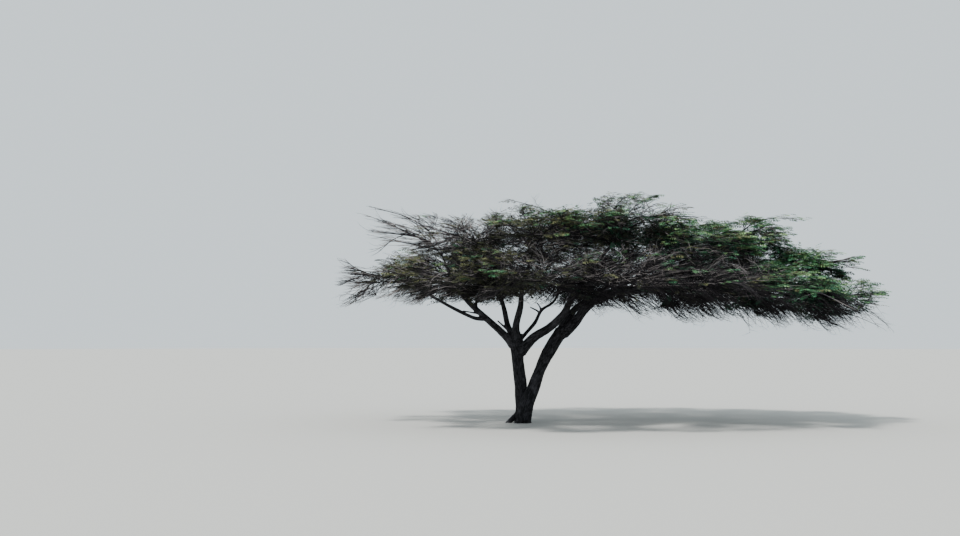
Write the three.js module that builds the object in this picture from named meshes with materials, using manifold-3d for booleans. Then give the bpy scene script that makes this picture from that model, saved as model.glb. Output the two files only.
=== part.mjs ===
// A divi-divi tree shaped by a steady wind: two stems on one foot, boughs that fan out under a wide flat
// crown, and the crown as masses of twigs and leaf sprays. Millimetres, +Z up, +X downwind.
// The origin is the middle of the flat cut where the foot meets level ground.

import * as THREE from "three";
import { mergeVertices } from "three/addons/utils/BufferGeometryUtils.js";
import Module from "manifold-3d";

const wasm = await Module();
wasm.setup();

// Driving dimensions
const GAP = 0.35; // what neighbours keep between them
const FORK_HEIGHT = 900; // the two stems part here
const BOUGH_TIP = 23; // radius of a bough where its mass begins
const BOUGH_TAPER = 0.62; // power of the distance from the tip that a bough's radius follows
const FOOT_SHARE = 0.62; // a side bough's foot against the girth of the bough it leaves
const SLIMMEST_FOOT = 32;
const FLATNESS = 0.45; // height of a mass's space against its width
// How strictly a twig and a spray keep to their mass's space: "nearer" is how much nearer they stay to its
// heart than to another's, in mm2, and "beyond" how far past its reach they may go, as a share of its square
const TWIG_BOUNDS = { nearer: 8e4, beyond: 0 };
const SPRAY_BOUNDS = { nearer: 1e4, beyond: 0.12 };
const LIMB_CLEARANCE = 8; // between a twig and a limb

// Twigs of a mass: a spine, twigs that leave it for places spread over the mass, and shoots at their sides
const TWIGS = 6;
const SHOOTS = 2; // on each twig
const BARE_LEFT_OUT = 1.3; // the leafier a mass, the more of its leafless shoots are left out
const SPINE_RADIUS = 20;
const TWIG_RADIUS = 13;
const SHOOT_RADIUS = 9;
const TWIG_REACH = 0.97; // share of the mass's reach that the spine and the twigs get to
const SPINE_RISE = 0.2;
const SPREAD_LOW = 0.6; // angle between a shoot and its twig, radians
const SPREAD_RANGE = 0.5;
const UPWARD_SWING = 0.9; // how far shoots rise or fall
const LEAN_OUT = 0.3; // how strongly a shoot leans the way its part of the mass faces

// Leaf sprays, larger than life because each stands for many
const SPRAY_LENGTH = 700;
const SPRAY_WIDTH = 350;
const SPRAY_THICKNESS = 18;
const SPRAY_ROLL = 1.25; // radians either way from lying flat
const SPRAY_THICKEST = 0.06; // share of its length, from the root, where a spray is thickest
const SPRAY_WIDEST = 0.42; // and where it is widest
const TIP_HOLD = 45; // how far a spray at a twig's tip starts behind that tip
const SPRAY_BEYOND = SPRAY_LENGTH - TIP_HOLD;
const SPRAY_SIZES = [1, 0.8, 0.6, 0.45]; // the first that fits
const SPRAY_TURNS = [1, -1, 0.2]; // shares of the roll, the first that fits
const SPRAYS_APART = 5;
const SMOOTHED = 1.5; // fused pieces lose facets finer than this

// Broken and dead side branches: the limb each is fused to, its two ends, and its radius at the first
const STUBS = [
  { on: "windward_top_back", ends: [[-335, 215, 2235], [-565, 190, 2440]], radius: 28 },
  { on: "windward_top", ends: [[-800, -50, 2470], [-935, -70, 2575], [-1395, -90, 2670]], radius: 24 },
  { on: "middle_heart", ends: [[455, 480, 2600], [425, 440, 2670], [230, 400, 2770]], radius: 26 },
  { on: "middle_heart", ends: [[505, 510, 2680], [470, 500, 2790], [395, 480, 2880]], radius: 22 },
];

// The two stems: the course of the middle line, and the radius at each of those points
const STEMS = [
  {
    name: "stem_windward",
    course: [
      [10, 60, -150],
      [10, 70, 400],
      [0, 80, 820],
      [-40, 80, 1200],
      [-90, 70, 1610],
      [-120, 50, 2110],
    ],
    girth: [160, 150, 142, 144, 144, 168],
  },
  {
    name: "stem_leeward",
    course: [
      [35, -70, -150],
      [105, -80, 370],
      [310, -60, 895],
      [455, -30, 1280],
      [650, 0, 1670],
      [975, 90, 2185],
    ],
    girth: [185, 172, 142, 118, 148, 152],
  },
];

// Buttresses that spread the foot: bearing in degrees from +X, reach along the ground, height, thickness
const BUTTRESSES = [
  { bearing: 178, reach: 400, height: 330, thickness: 85 },
  { bearing: 236, reach: 300, height: 300, thickness: 90 },
  { bearing: 292, reach: 250, height: 320, thickness: 95 },
  { bearing: 352, reach: 215, height: 300, thickness: 90 },
  { bearing: 62, reach: 290, height: 280, thickness: 85 },
  { bearing: 122, reach: 320, height: 300, thickness: 85 },
];

// Main boughs: the radius at the foot, and the course of the middle line after it leaves its parent
const MAIN_BOUGHS = {
  windward_top: {
    girth: 96,
    course: [
      [-385, 0, 2080],
      [-790, -50, 2450],
      [-1255, -60, 2885],
      [-1640, -20, 3420],
      [-1830, 20, 3860],
    ],
  },
  windward_tip: {
    girth: 50,
    course: [
      [-1120, -120, 2500],
      [-1560, -170, 2700],
      [-1985, -190, 2930],
      [-2330, -160, 3150],
    ],
  },
  windward_top_back: {
    girth: 78,
    course: [
      [-300, 180, 2285],
      [-400, 380, 2725],
      [-540, 620, 3195],
      [-700, 960, 3850],
    ],
  },
  middle_top_front: {
    girth: 96,
    course: [
      [-125, -80, 2310],
      [-25, -220, 2735],
      [15, -420, 3160],
      [180, -960, 3800],
    ],
  },
  middle_heart: {
    girth: 50,
    course: [
      [155, 280, 2165],
      [355, 420, 2395],
      [520, 520, 2700],
      [800, 600, 2890],
      [1000, 560, 3200],
    ],
  },
  peak_front: {
    girth: 118,
    course: [
      [310, -80, 2035],
      [680, -260, 2280],
      [985, -360, 2580],
      [1195, -420, 2970],
      [1660, -520, 3670],
      [2180, -700, 4280],
    ],
  },
  peak_back: {
    girth: 104,
    course: [
      [1120, 210, 2455],
      [1320, 280, 2720],
      [1685, 340, 2975],
      [2240, 520, 3400],
      [2760, 960, 4130],
    ],
  },
  lee_tip: {
    girth: 122,
    course: [
      [1250, 40, 2345],
      [1610, 10, 2785],
      [2110, -20, 3085],
      [3090, -50, 3190],
      [4290, -50, 3150],
      [5620, -10, 3080],
      [6850, -60, 3010],
    ],
  },
};

// The crown's masses: name, heart, reach sideways from it, share of leafy twigs, the limb that its bough
// leaves, and where on that limb. A mass with no main bough has a side bough that follows a rule.
const CROWN_ROWS = [
  ["windward_top", [-2240, 100, 4420], 1420, 0.15, "stem_windward", 0.86],
  ["windward_tip", [-2980, -100, 3390], 1420, 0.6, "windward_top", 0.42],
  ["windward_top_back", [-930, 1500, 4480], 1350, 0.4, "stem_windward", 0.93],
  ["middle_top_front", [380, -1600, 4380], 1480, 0.45, "stem_windward", 0.93],
  ["middle_heart", [940, 100, 3720], 1350, 0.4, "stem_windward", 0.91],
  ["peak_front", [2520, -900, 4780], 1420, 0.7, "stem_windward", 0.8],
  ["peak_back", [3190, 1600, 4700], 1400, 0.65, "stem_leeward", 0.95],
  ["lee_tip", [7440, -100, 2960], 1290, 0.95, "stem_leeward", 0.96],
  ["windward_low_front", [-1650, -1900, 3440], 1420, 0.6, "windward_top", 0.62],
  ["windward_low_back", [-1650, 1900, 3540], 1420, 0.6, "windward_top", 0.56],
  ["windward_low_middle", [-930, 100, 3400], 1150, 0.5, "windward_top", 0.5],
  ["windward_top_front", [-1030, -1400, 4310], 1320, 0.3, "middle_top_front", 0.72],
  ["middle_low_front", [270, -2900, 3420], 1500, 0.65, "middle_top_front", 0.6],
  ["middle_low_back", [600, 3000, 3680], 1500, 0.65, "windward_top_back", 0.62],
  ["middle_top_back", [660, 1700, 4610], 1450, 0.5, "windward_top_back", 0.74],
  ["peak_windward", [1640, 200, 4640], 1320, 0.6, "peak_front", 0.72],
  ["lee_low_front", [2100, -2850, 3340], 1500, 0.75, "peak_front", 0.6],
  ["lee_low_back", [2830, 2900, 3600], 1500, 0.75, "peak_back", 0.55],
  ["lee_heart", [2860, 0, 3500], 1380, 0.45, "lee_tip", 0.34],
  ["lee_middle_front", [3980, -2200, 3260], 1500, 0.8, "lee_tip", 0.43],
  ["lee_middle_back", [4860, 2300, 3440], 1500, 0.8, "lee_tip", 0.5],
  ["lee_middle", [4730, 150, 3460], 1380, 0.7, "lee_tip", 0.56],
  ["lee_top_front", [4000, -1200, 4080], 1380, 0.8, "lee_tip", 0.38],
  ["lee_top_back", [4700, 1500, 4320], 1380, 0.8, "peak_back", 0.72],
  ["lee_top_far", [5280, 200, 4430], 1170, 0.95, "lee_tip", 0.62],
  ["lee_far_front", [5850, -1450, 3060], 1450, 0.9, "lee_tip", 0.7],
  ["lee_far_back", [6560, 1500, 3190], 1430, 0.9, "lee_tip", 0.76],
  ["lee_far_top", [7000, 100, 3720], 1150, 0.95, "lee_tip", 0.82],
];
const CROWN = CROWN_ROWS.map(([name, heart, reach, leaf, from, at]) => {
  return { name, heart, reach, leaf, from, at, ...MAIN_BOUGHS[name] };
});

const COLOURS = {
  bark: { color: 0x3a322f, roughness: 0.92, metalness: 0 },
  bare: { color: 0x544843, roughness: 0.95, metalness: 0 },
  leafy: { color: 0x3d4d2c, roughness: 0.85, metalness: 0 },
};
const LEAFY_FROM = 0.4; // masses with at least this share of leafy twigs take the leaf colour

// Seeded chance: the same key and salt always give the same number
function mix(key, salt) {
  let h = Math.imul(key ^ Math.imul(salt, 0x9e3779b1), 0x85ebca6b);
  h ^= h >>> 15;
  h = Math.imul(h, 0xc2b2ae35);
  h ^= h >>> 13;
  return h >>> 0;
}
const chance = (key, salt) => mix(key, salt) / 2 ** 32;
const part = (x) => x - Math.floor(x);
const vector = (xyz) => new THREE.Vector3(...xyz);

// Solids
function solidOf(geometry) {
  geometry.deleteAttribute("normal");
  geometry.deleteAttribute("uv");
  const merged = mergeVertices(geometry, 1e-3);
  const vertProperties = merged.attributes.position.array;
  const triVerts = new Uint32Array(merged.index.array);
  return new wasm.Manifold(new wasm.Mesh({ numProp: 3, vertProperties, triVerts }));
}

function geometryOf(solid) {
  const mesh = solid.getMesh();
  const geometry = new THREE.BufferGeometry();
  geometry.setAttribute("position", new THREE.BufferAttribute(mesh.vertProperties, 3));
  geometry.setIndex(new THREE.BufferAttribute(mesh.triVerts, 1));
  return geometry;
}

const largestOf = (solid) => solid.decompose().reduce((a, b) => (b.volume() > a.volume() ? b : a));

// A round piece bent along a path: each vertex of an upright cylinder or cone goes to its place along it.
// A path is a three.js curve, and radiusAt gives its radius at a share of its length.
function bent(path, radiusAt, { sides, rings, pointed = false, grown = 0 }) {
  const round = pointed
    ? new THREE.ConeGeometry(1, 1, sides, rings)
    : new THREE.CylinderGeometry(1, 1, 1, sides, rings);
  const chord = path.getPoint(1).sub(path.getPoint(0));
  const across = Math.abs(chord.z) > Math.hypot(chord.x, chord.y) ? vector([0, 1, 0]) : vector([0, 0, 1]);
  const frames = [];
  for (let i = 0; i <= rings; i++) {
    const t = i / rings;
    const tangent = path.getTangent(t);
    const side = new THREE.Vector3().crossVectors(across, tangent).normalize();
    const up = new THREE.Vector3().crossVectors(side, tangent).normalize();
    const centre = path.getPoint(t);
    if (i === rings) centre.addScaledVector(tangent, grown);
    frames.push({ centre, side, up, radius: radiusAt(t) + grown / Math.cos(Math.PI / sides) });
  }
  const spots = round.attributes.position;
  const spot = new THREE.Vector3();
  for (let i = 0; i < spots.count; i++) {
    spot.fromBufferAttribute(spots, i);
    const { centre, side, up, radius } = frames[Math.round((spot.y + 0.5) * rings)];
    const spread = Math.hypot(spot.x, spot.z);
    const placed = centre.clone();
    if (spread > 1e-6) {
      placed.addScaledVector(side, (spot.x / spread) * radius);
      placed.addScaledVector(up, (spot.z / spread) * radius);
    }
    spots.setXYZ(i, placed.x, placed.y, placed.z);
  }
  return solidOf(round);
}

// Limbs
function between(values, share) {
  const place = Math.min(Math.max(share, 0), 1) * (values.length - 1);
  const low = Math.min(Math.floor(place), values.length - 2);
  return values[low] + (values[low + 1] - values[low]) * (place - low);
}

const coursed = (points) => new THREE.CatmullRomCurve3(points, false, "catmullrom", 0.5);

function limbOf(path, radiusAt, sides, rings) {
  const solid = bent(path, radiusAt, { sides, rings });
  const grown = bent(path, radiusAt, { sides, rings, grown: GAP });
  return { path, radiusAt, solid, grown };
}

const limbs = new Map();
for (const { name, course, girth } of STEMS) {
  const path = coursed(course.map(vector));
  limbs.set(name, limbOf(path, (t) => between(girth, t), 11, 8));
}

// A bough with no course of its own leaves along its parent and bends towards its mass's heart
const LEAVES_ALONG = 0.38;
const ENTERS_AT = 0.5; // share of the mass's reach, from its heart, where the bough ends

function ruledPath(parent, at, heart, reach) {
  const foot = parent.path.getPoint(at);
  const towards = heart.clone().sub(foot);
  const lengthAcross = Math.hypot(towards.x, towards.y, towards.z / FLATNESS);
  const tip = heart.clone().addScaledVector(towards, (-ENTERS_AT * reach) / lengthAcross);
  const turn = foot.clone().addScaledVector(parent.path.getTangent(at), LEAVES_ALONG * foot.distanceTo(tip));
  return new THREE.QuadraticBezierCurve3(foot, turn, tip);
}

for (const mass of CROWN) {
  const parent = limbs.get(mass.from);
  const heart = vector(mass.heart);
  const path = mass.course
    ? coursed([parent.path.getPoint(mass.at), ...mass.course.map(vector)])
    : ruledPath(parent, mass.at, heart, mass.reach);
  const foot = mass.girth ?? Math.max(SLIMMEST_FOOT, FOOT_SHARE * parent.radiusAt(mass.at));
  const radiusAt = (t) => BOUGH_TIP + (foot - BOUGH_TIP) * (1 - t) ** BOUGH_TAPER;
  const rings = mass.course ? 2 * mass.course.length - 2 : 5;
  const limb = limbOf(path, radiusAt, mass.course ? 7 : 5, rings);
  limb.parent = parent;
  limbs.set(mass.name, limb);
}

for (const { on, ends, radius } of STUBS) {
  const path = coursed(ends.map(vector));
  const stub = bent(path, (t) => radius * (1 - 0.4 * t), { sides: 5, rings: ends.length });
  limbs.get(on).solid = limbs.get(on).solid.add(stub);
}

// Each bough is cut back from the limbs before it, so that its foot sits on them
const earlier = [];
for (const limb of limbs.values()) {
  if (limb.parent) {
    limb.solid = largestOf(earlier.reduce((left, other) => left.subtract(other.grown), limb.solid));
  }
  earlier.push(limb);
}

// The foot: both stems up to the fork, fused with the buttresses and cut flat at the ground
function buttress({ bearing, reach, height, thickness }) {
  const angle = (bearing * Math.PI) / 180;
  const outward = vector([Math.cos(angle), Math.sin(angle), 0]);
  const inner = vector([20, 0, height]);
  const knee = inner.clone().addScaledVector(outward, 0.42 * reach).setZ(0.42 * height);
  const outer = inner.clone().addScaledVector(outward, reach).setZ(-60);
  const path = new THREE.QuadraticBezierCurve3(inner, knee, outer);
  return bent(path, (t) => thickness * (1 - 0.5 * t), { sides: 7, rings: 4 });
}

const stemSolids = STEMS.map(({ name }) => limbs.get(name).solid);
const foot = wasm.Manifold.union([...stemSolids, ...BUTTRESSES.map(buttress)])
  .trimByPlane([0, 0, 1], 0)
  .trimByPlane([0, 0, -1], -FORK_HEIGHT)
  .simplify(SMOOTHED);

// The space of a mass: nearer to its heart than its reach, and nearer to it than to any other mass
const masses = CROWN.map((row, index) => ({ ...row, heart: vector(row.heart), key: mix(index + 1, 7) }));

function power(spot, { heart, reach }) {
  const dx = spot.x - heart.x;
  const dy = spot.y - heart.y;
  const dz = (spot.z - heart.z) / FLATNESS;
  return dx * dx + dy * dy + dz * dz - reach * reach;
}

function inSpace(spot, mass, { nearer, beyond }) {
  const own = power(spot, mass);
  if (own > beyond * mass.reach ** 2) return false;
  return masses.every((other) => other === mass || power(spot, other) > own + nearer);
}

// A piece of a mass keeps clear of every limb
function boxesMeet(a, b, by) {
  return [0, 1, 2].every((i) => a.min[i] - by <= b.max[i] && b.min[i] - by <= a.max[i]);
}

function apart(a, b, gap) {
  return !boxesMeet(a.boundingBox(), b.boundingBox(), gap) || a.minGap(b, gap) >= gap;
}

function clearOfLimbs(piece, ownLimb) {
  const gapTo = (limb) => (limb === ownLimb ? 0.8 * GAP : LIMB_CLEARANCE);
  return [...limbs.values()].every((limb) => apart(piece, limb.solid, gapTo(limb)));
}

// A twig is a bent line: it leaves "from", turns at "turn" and ends at "to".
// It is shortened until all of it keeps to the space and clears the limbs.
const SHORTEST = 0.45;
const CHECKED = 6;
const tapering = (radius) => (t) => radius * (1 - 0.7 * t);

function settled(from, turn, to, mass, { radius, ownLimb, ...form }) {
  const full = new THREE.QuadraticBezierCurve3(from, turn, to);
  for (let share = 1; share > SHORTEST; share -= 0.1) {
    const line = new THREE.QuadraticBezierCurve3(from, from.clone().lerp(turn, share), full.getPoint(share));
    if (!line.getPoints(CHECKED).slice(2).every((spot) => inSpace(spot, mass, TWIG_BOUNDS))) continue;
    const solid = bent(line, tapering(radius), form);
    if (clearOfLimbs(solid, ownLimb)) return { line, solid };
  }
  return null;
}

// A leafy twig ends short of the mass's reach, and its spray gets there
const leafy = (mass, key) => chance(key, 11) < mass.leaf;
const reachOf = (mass, key) => TWIG_REACH - (leafy(mass, key) ? SPRAY_BEYOND / mass.reach : 0);

function spineOf(mass, limb) {
  const heading = limb.path.getTangent(1);
  const start = limb.path.getPoint(1).addScaledVector(heading, GAP);
  const outward = mass.heart.clone().sub(start).setZ(0).normalize();
  const end = mass.heart.clone().addScaledVector(outward, mass.reach * reachOf(mass, mix(mass.key, 9)));
  end.z += SPINE_RISE * FLATNESS * mass.reach;
  const turn = start.clone().addScaledVector(heading, 0.45 * start.distanceTo(end));
  const spine = settled(start, turn, end, mass, { radius: SPINE_RADIUS, ownLimb: limb, sides: 4, rings: 3 });
  if (!spine) throw new Error("no room for the spine of " + mass.name);
  return { ...spine, outward };
}

// Aims are spread evenly over the mass by the two steps of a plane-filling sequence
const AIM_STEP = [0.7548776662, 0.569840291];

function aimOf(mass, i, key) {
  const rise = 1 - 2 * part(0.03 + i * AIM_STEP[1]);
  const bearing = 2 * Math.PI * part(chance(mass.key, 3) + i * AIM_STEP[0]);
  const level = Math.sqrt(1 - rise * rise);
  const across = level * mass.reach * reachOf(mass, key);
  const up = rise * mass.reach * FLATNESS * TWIG_REACH;
  const aim = vector([across * Math.cos(bearing), across * Math.sin(bearing), up]);
  for (let share = 1; share > 0.25; share -= 0.06) {
    const spot = mass.heart.clone().addScaledVector(aim, share);
    if (inSpace(spot, mass, TWIG_BOUNDS)) return spot;
  }
  return null;
}

function twigOf(mass, spine, i, key) {
  const aim = aimOf(mass, i, key);
  if (!aim) return null;
  const forward = aim.clone().sub(mass.heart).dot(spine.outward) / mass.reach;
  const share = Math.min(Math.max(0.42 * (forward + 1) - 0.1, 0.1), 0.86);
  const start = spine.line.getPoint(share);
  const far = start.distanceTo(aim);
  const straight = aim.clone().sub(start).normalize();
  const heading = spine.line.getTangent(share).add(straight).normalize();
  const turn = start.clone().addScaledVector(heading, 0.45 * far);
  return settled(start, turn, aim, mass, { radius: TWIG_RADIUS, sides: 3, rings: 2, pointed: true });
}

// A shoot leaves its twig at an angle, left and right in turn, and leans the way its part of the mass faces
const GOLDEN = 0.618034;

function shootAt(mass, spine, twig, key, j) {
  const share = 0.2 + 0.75 * part(chance(key, 2) + j * GOLDEN);
  const start = twig.getPoint(share);
  const tangent = twig.getTangent(share);
  const side = new THREE.Vector3(-tangent.y, tangent.x, 0).normalize();
  const own = mix(key, 50 + j);
  const spread = SPREAD_LOW + SPREAD_RANGE * chance(own, 1);
  const heading = tangent.clone().multiplyScalar(Math.cos(spread));
  heading.addScaledVector(side, (j % 2 ? -1 : 1) * Math.sin(spread));
  heading.z += UPWARD_SWING * FLATNESS * (chance(own, 2) - 0.45);
  heading.normalize();
  const far = (0.62 - 0.3 * share) * (0.75 + 0.5 * chance(own, 3)) * twig.getLength();
  const turn = start.clone().addScaledVector(heading, 0.5 * far);
  const facing = spine.outward.clone();
  facing.z = (LEAN_OUT * (start.z - mass.heart.z)) / (FLATNESS * mass.reach);
  const end = turn.clone().addScaledVector(facing.multiplyScalar(0.5).add(heading).normalize(), 0.5 * far);
  return { start, tangent, heading, turn, end, key: own };
}

// A spray of leaves is an eight-faced blade: its root is inside its twig, it is thickest where it comes out
// and widest farther along. The octahedron's six corners are moved to those places.
function bladeOf(mass, root, along, roll, scale) {
  const flat = new THREE.Vector3(-along.y, along.x, 0).normalize().applyAxisAngle(along, roll);
  const thick = new THREE.Vector3().crossVectors(along, flat);
  const blade = new THREE.OctahedronGeometry(1);
  const corners = blade.attributes.position;
  for (let i = 0; i < corners.count; i++) {
    const corner = new THREE.Vector3().fromBufferAttribute(corners, i);
    const share = (corner.x > 0.5) + SPRAY_WIDEST * Math.abs(corner.y) + SPRAY_THICKEST * Math.abs(corner.z);
    const placed = root.clone().addScaledVector(along, share * scale * SPRAY_LENGTH);
    placed.addScaledVector(flat, (corner.y * scale * SPRAY_WIDTH) / 2);
    placed.addScaledVector(thick, (corner.z * SPRAY_THICKNESS) / 2);
    if (!inSpace(placed, mass, SPRAY_BOUNDS)) return null;
    corners.setXYZ(i, ...placed);
  }
  const solid = solidOf(blade);
  return clearOfLimbs(solid, null) ? solid : null;
}

// The first size, place and turn at which a spray keeps to its space and clear of the sprays before it
function sprayOf(mass, places, key, others) {
  const roll = SPRAY_ROLL * (2 * chance(key, 21) - 1);
  for (const scale of SPRAY_SIZES) {
    for (const { root, along } of places) {
      for (const turned of SPRAY_TURNS) {
        const solid = bladeOf(mass, root, along, turned * roll, scale);
        if (solid && others.every((other) => apart(solid, other, SPRAYS_APART))) return solid;
      }
    }
  }
  return null;
}

function massSolid(mass) {
  const spine = spineOf(mass, limbs.get(mass.name));
  const twigs = [{ ...spine, key: mix(mass.key, 9) }];
  for (let i = 0; i < TWIGS; i++) {
    const key = mix(mass.key, 1000 + i);
    const twig = twigOf(mass, spine, i, key);
    if (twig) twigs.push({ ...twig, key });
  }
  const solids = twigs.map(({ solid }) => solid);
  const sprays = [];
  const clothe = (places, key) => {
    const spray = sprayOf(mass, places, key, sprays);
    if (spray) sprays.push(spray);
  };
  for (const { line, key } of twigs) {
    if (leafy(mass, key)) {
      const shares = [1 - TIP_HOLD / line.getLength(), 0.7, 0.4];
      clothe(shares.map((share) => ({ root: line.getPoint(share), along: line.getTangent(share) })), key);
    }
    for (let j = 0; j < SHOOTS; j++) {
      const shoot = shootAt(mass, spine, line, key, j);
      if (leafy(mass, shoot.key)) {
        const { start: root, heading, tangent } = shoot;
        const mirrored = tangent.multiplyScalar(2 * tangent.dot(heading)).sub(heading);
        clothe([{ root, along: heading }, { root, along: mirrored }], shoot.key);
      } else if (chance(shoot.key, 12) > BARE_LEFT_OUT * mass.leaf) {
        const form = { radius: SHOOT_RADIUS, sides: 3, rings: 1, pointed: true };
        const twig = settled(shoot.start, shoot.turn, shoot.end, mass, form);
        if (twig) solids.push(twig.solid);
      }
    }
  }
  return largestOf(wasm.Manifold.union([...solids, ...sprays]).simplify(SMOOTHED));
}

// The tree
const tree = new THREE.Group();
const materials = {};
for (const [name, look] of Object.entries(COLOURS)) {
  materials[name] = new THREE.MeshStandardMaterial({ name, ...look });
}

function add(name, solid, material) {
  const mesh = new THREE.Mesh(geometryOf(solid), materials[material]);
  mesh.name = name;
  tree.add(mesh);
}

add("trunk_foot", foot, "bark");
for (const { name } of STEMS) {
  add(name, limbs.get(name).solid.trimByPlane([0, 0, 1], FORK_HEIGHT + GAP), "bark");
}
for (const { name } of CROWN) add("bough_" + name, limbs.get(name).solid, "bark");
for (const mass of masses) {
  add("crown_" + mass.name, massSolid(mass), mass.leaf >= LEAFY_FROM ? "leafy" : "bare");
}

export default tree;
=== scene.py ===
import math

import bmesh
import bpy
import numpy as np
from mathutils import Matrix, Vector, noise
from mathutils.kdtree import KDTree


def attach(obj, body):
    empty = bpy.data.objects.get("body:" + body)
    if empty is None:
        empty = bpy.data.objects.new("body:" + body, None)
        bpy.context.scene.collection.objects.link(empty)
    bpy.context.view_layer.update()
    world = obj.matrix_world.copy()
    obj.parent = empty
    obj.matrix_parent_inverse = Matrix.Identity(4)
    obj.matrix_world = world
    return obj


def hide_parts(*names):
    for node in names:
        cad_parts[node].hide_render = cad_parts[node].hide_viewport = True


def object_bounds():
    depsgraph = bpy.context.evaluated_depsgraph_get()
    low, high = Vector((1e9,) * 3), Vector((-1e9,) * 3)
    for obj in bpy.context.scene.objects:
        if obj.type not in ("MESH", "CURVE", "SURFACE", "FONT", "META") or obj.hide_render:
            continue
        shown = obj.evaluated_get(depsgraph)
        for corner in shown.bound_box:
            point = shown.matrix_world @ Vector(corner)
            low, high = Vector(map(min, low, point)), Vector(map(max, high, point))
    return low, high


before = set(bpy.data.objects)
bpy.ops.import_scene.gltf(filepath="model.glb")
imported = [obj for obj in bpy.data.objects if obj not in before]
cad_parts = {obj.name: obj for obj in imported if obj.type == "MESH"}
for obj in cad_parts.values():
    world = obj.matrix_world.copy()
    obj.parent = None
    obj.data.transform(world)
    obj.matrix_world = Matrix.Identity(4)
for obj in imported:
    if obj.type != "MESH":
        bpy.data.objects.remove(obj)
cad_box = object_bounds()

# A divi-divi tree shaped by a steady wind. Metres, +Z up, +X downwind.
# The limbs and the masses of the crown keep the places, courses and girths of the solids. Here the
# limbs get bark, and each mass is grown on by the same rule to finer twigs and to single leaves.

# Camera: 30 m from the trunk, with the eye 2.14 m up
EYE = (-.984, -30, 2.14)
LOOKS_UP = math.atan(.052)
FOCAL_LENGTH = 46.875
SENSOR_WIDTH = 36
SEES_AS_FAR_AS = 400

# Studio: a pale floor, soft light from all round and one key light
FLOOR_RADIUS = 150
FLOOR_SIDES = 96
FLOOR_TINT = "#bcbbb7"
FLOOR_FINISH = (.9, .1)  # roughness and shine
SOFT_COLOUR = (.8, .9, .95, 1)
SOFT_STRENGTH = 1.2
KEY_STRENGTH = 4.2
KEY_COLOUR = (1, .98, .94)
KEY_SIZE = math.radians(8)
KEY_COMES_FROM = (-.35, -.45, 1)

# Limbs: for each stem the course of its middle line and its girths (radii)
STEMS = {
    "stem_windward": {
        "course": [(.01, .06, -.15), (.01, .07, .4), (0, .08, .82), (-.04, .08, 1.2),
                   (-.09, .07, 1.61), (-.12, .05, 2.11)],
        "girth": [.16, .15, .142, .144, .144, .168],
    },
    "stem_leeward": {
        "course": [(.035, -.07, -.15), (.105, -.08, .37), (.31, -.06, .895), (.455, -.03, 1.28),
                   (.65, 0, 1.67), (.975, .09, 2.185)],
        "girth": [.185, .172, .142, .118, .148, .152],
    },
}

# Buttresses of the foot: bearing in degrees from +X, reach along the ground, height, thickness
BUTTRESSES = [
    (178, .4, .33, .085),
    (236, .3, .3, .09),
    (292, .25, .32, .095),
    (352, .215, .3, .09),
    (62, .29, .28, .085),
    (122, .32, .3, .085),
]

# Main boughs: the girth at the foot, and the course after the bough leaves its parent
MAIN_BOUGHS = {
    "windward_top": (.096, [(-.385, 0, 2.08), (-.79, -.05, 2.45), (-1.255, -.06, 2.885),
                            (-1.64, -.02, 3.42), (-1.83, .02, 3.86)]),
    "windward_tip": (.05, [(-1.12, -.12, 2.5), (-1.56, -.17, 2.7), (-1.985, -.19, 2.93),
                           (-2.33, -.16, 3.15)]),
    "windward_top_back": (.078, [(-.3, .18, 2.285), (-.4, .38, 2.725), (-.54, .62, 3.195),
                                 (-.7, .96, 3.85)]),
    "middle_top_front": (.096, [(-.125, -.08, 2.31), (-.025, -.22, 2.735), (.015, -.42, 3.16),
                                (.18, -.96, 3.8)]),
    "middle_heart": (.05, [(.155, .28, 2.165), (.355, .42, 2.395), (.52, .52, 2.7),
                           (.8, .6, 2.89), (1, .56, 3.2)]),
    "peak_front": (.118, [(.31, -.08, 2.035), (.68, -.26, 2.28), (.985, -.36, 2.58),
                          (1.195, -.42, 2.97), (1.66, -.52, 3.67), (2.18, -.7, 4.28)]),
    "peak_back": (.104, [(1.12, .21, 2.455), (1.32, .28, 2.72), (1.685, .34, 2.975),
                         (2.24, .52, 3.4), (2.76, .96, 4.13)]),
    "lee_tip": (.122, [(1.25, .04, 2.345), (1.61, .01, 2.785), (2.11, -.02, 3.085),
                       (3.09, -.05, 3.19), (4.29, -.05, 3.15), (5.62, -.01, 3.08),
                       (6.85, -.06, 3.01)]),
}

# Broken and dead side branches: the places of the middle line, and the radius at the first
STUBS = [
    ([(-.335, .215, 2.235), (-.565, .19, 2.44)], .028),
    ([(-.8, -.05, 2.47), (-.935, -.07, 2.575), (-1.395, -.09, 2.67)], .024),
    ([(.455, .48, 2.6), (.425, .44, 2.67), (.23, .4, 2.77)], .026),
    ([(.505, .51, 2.68), (.47, .5, 2.79), (.395, .48, 2.88)], .022),
]

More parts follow.
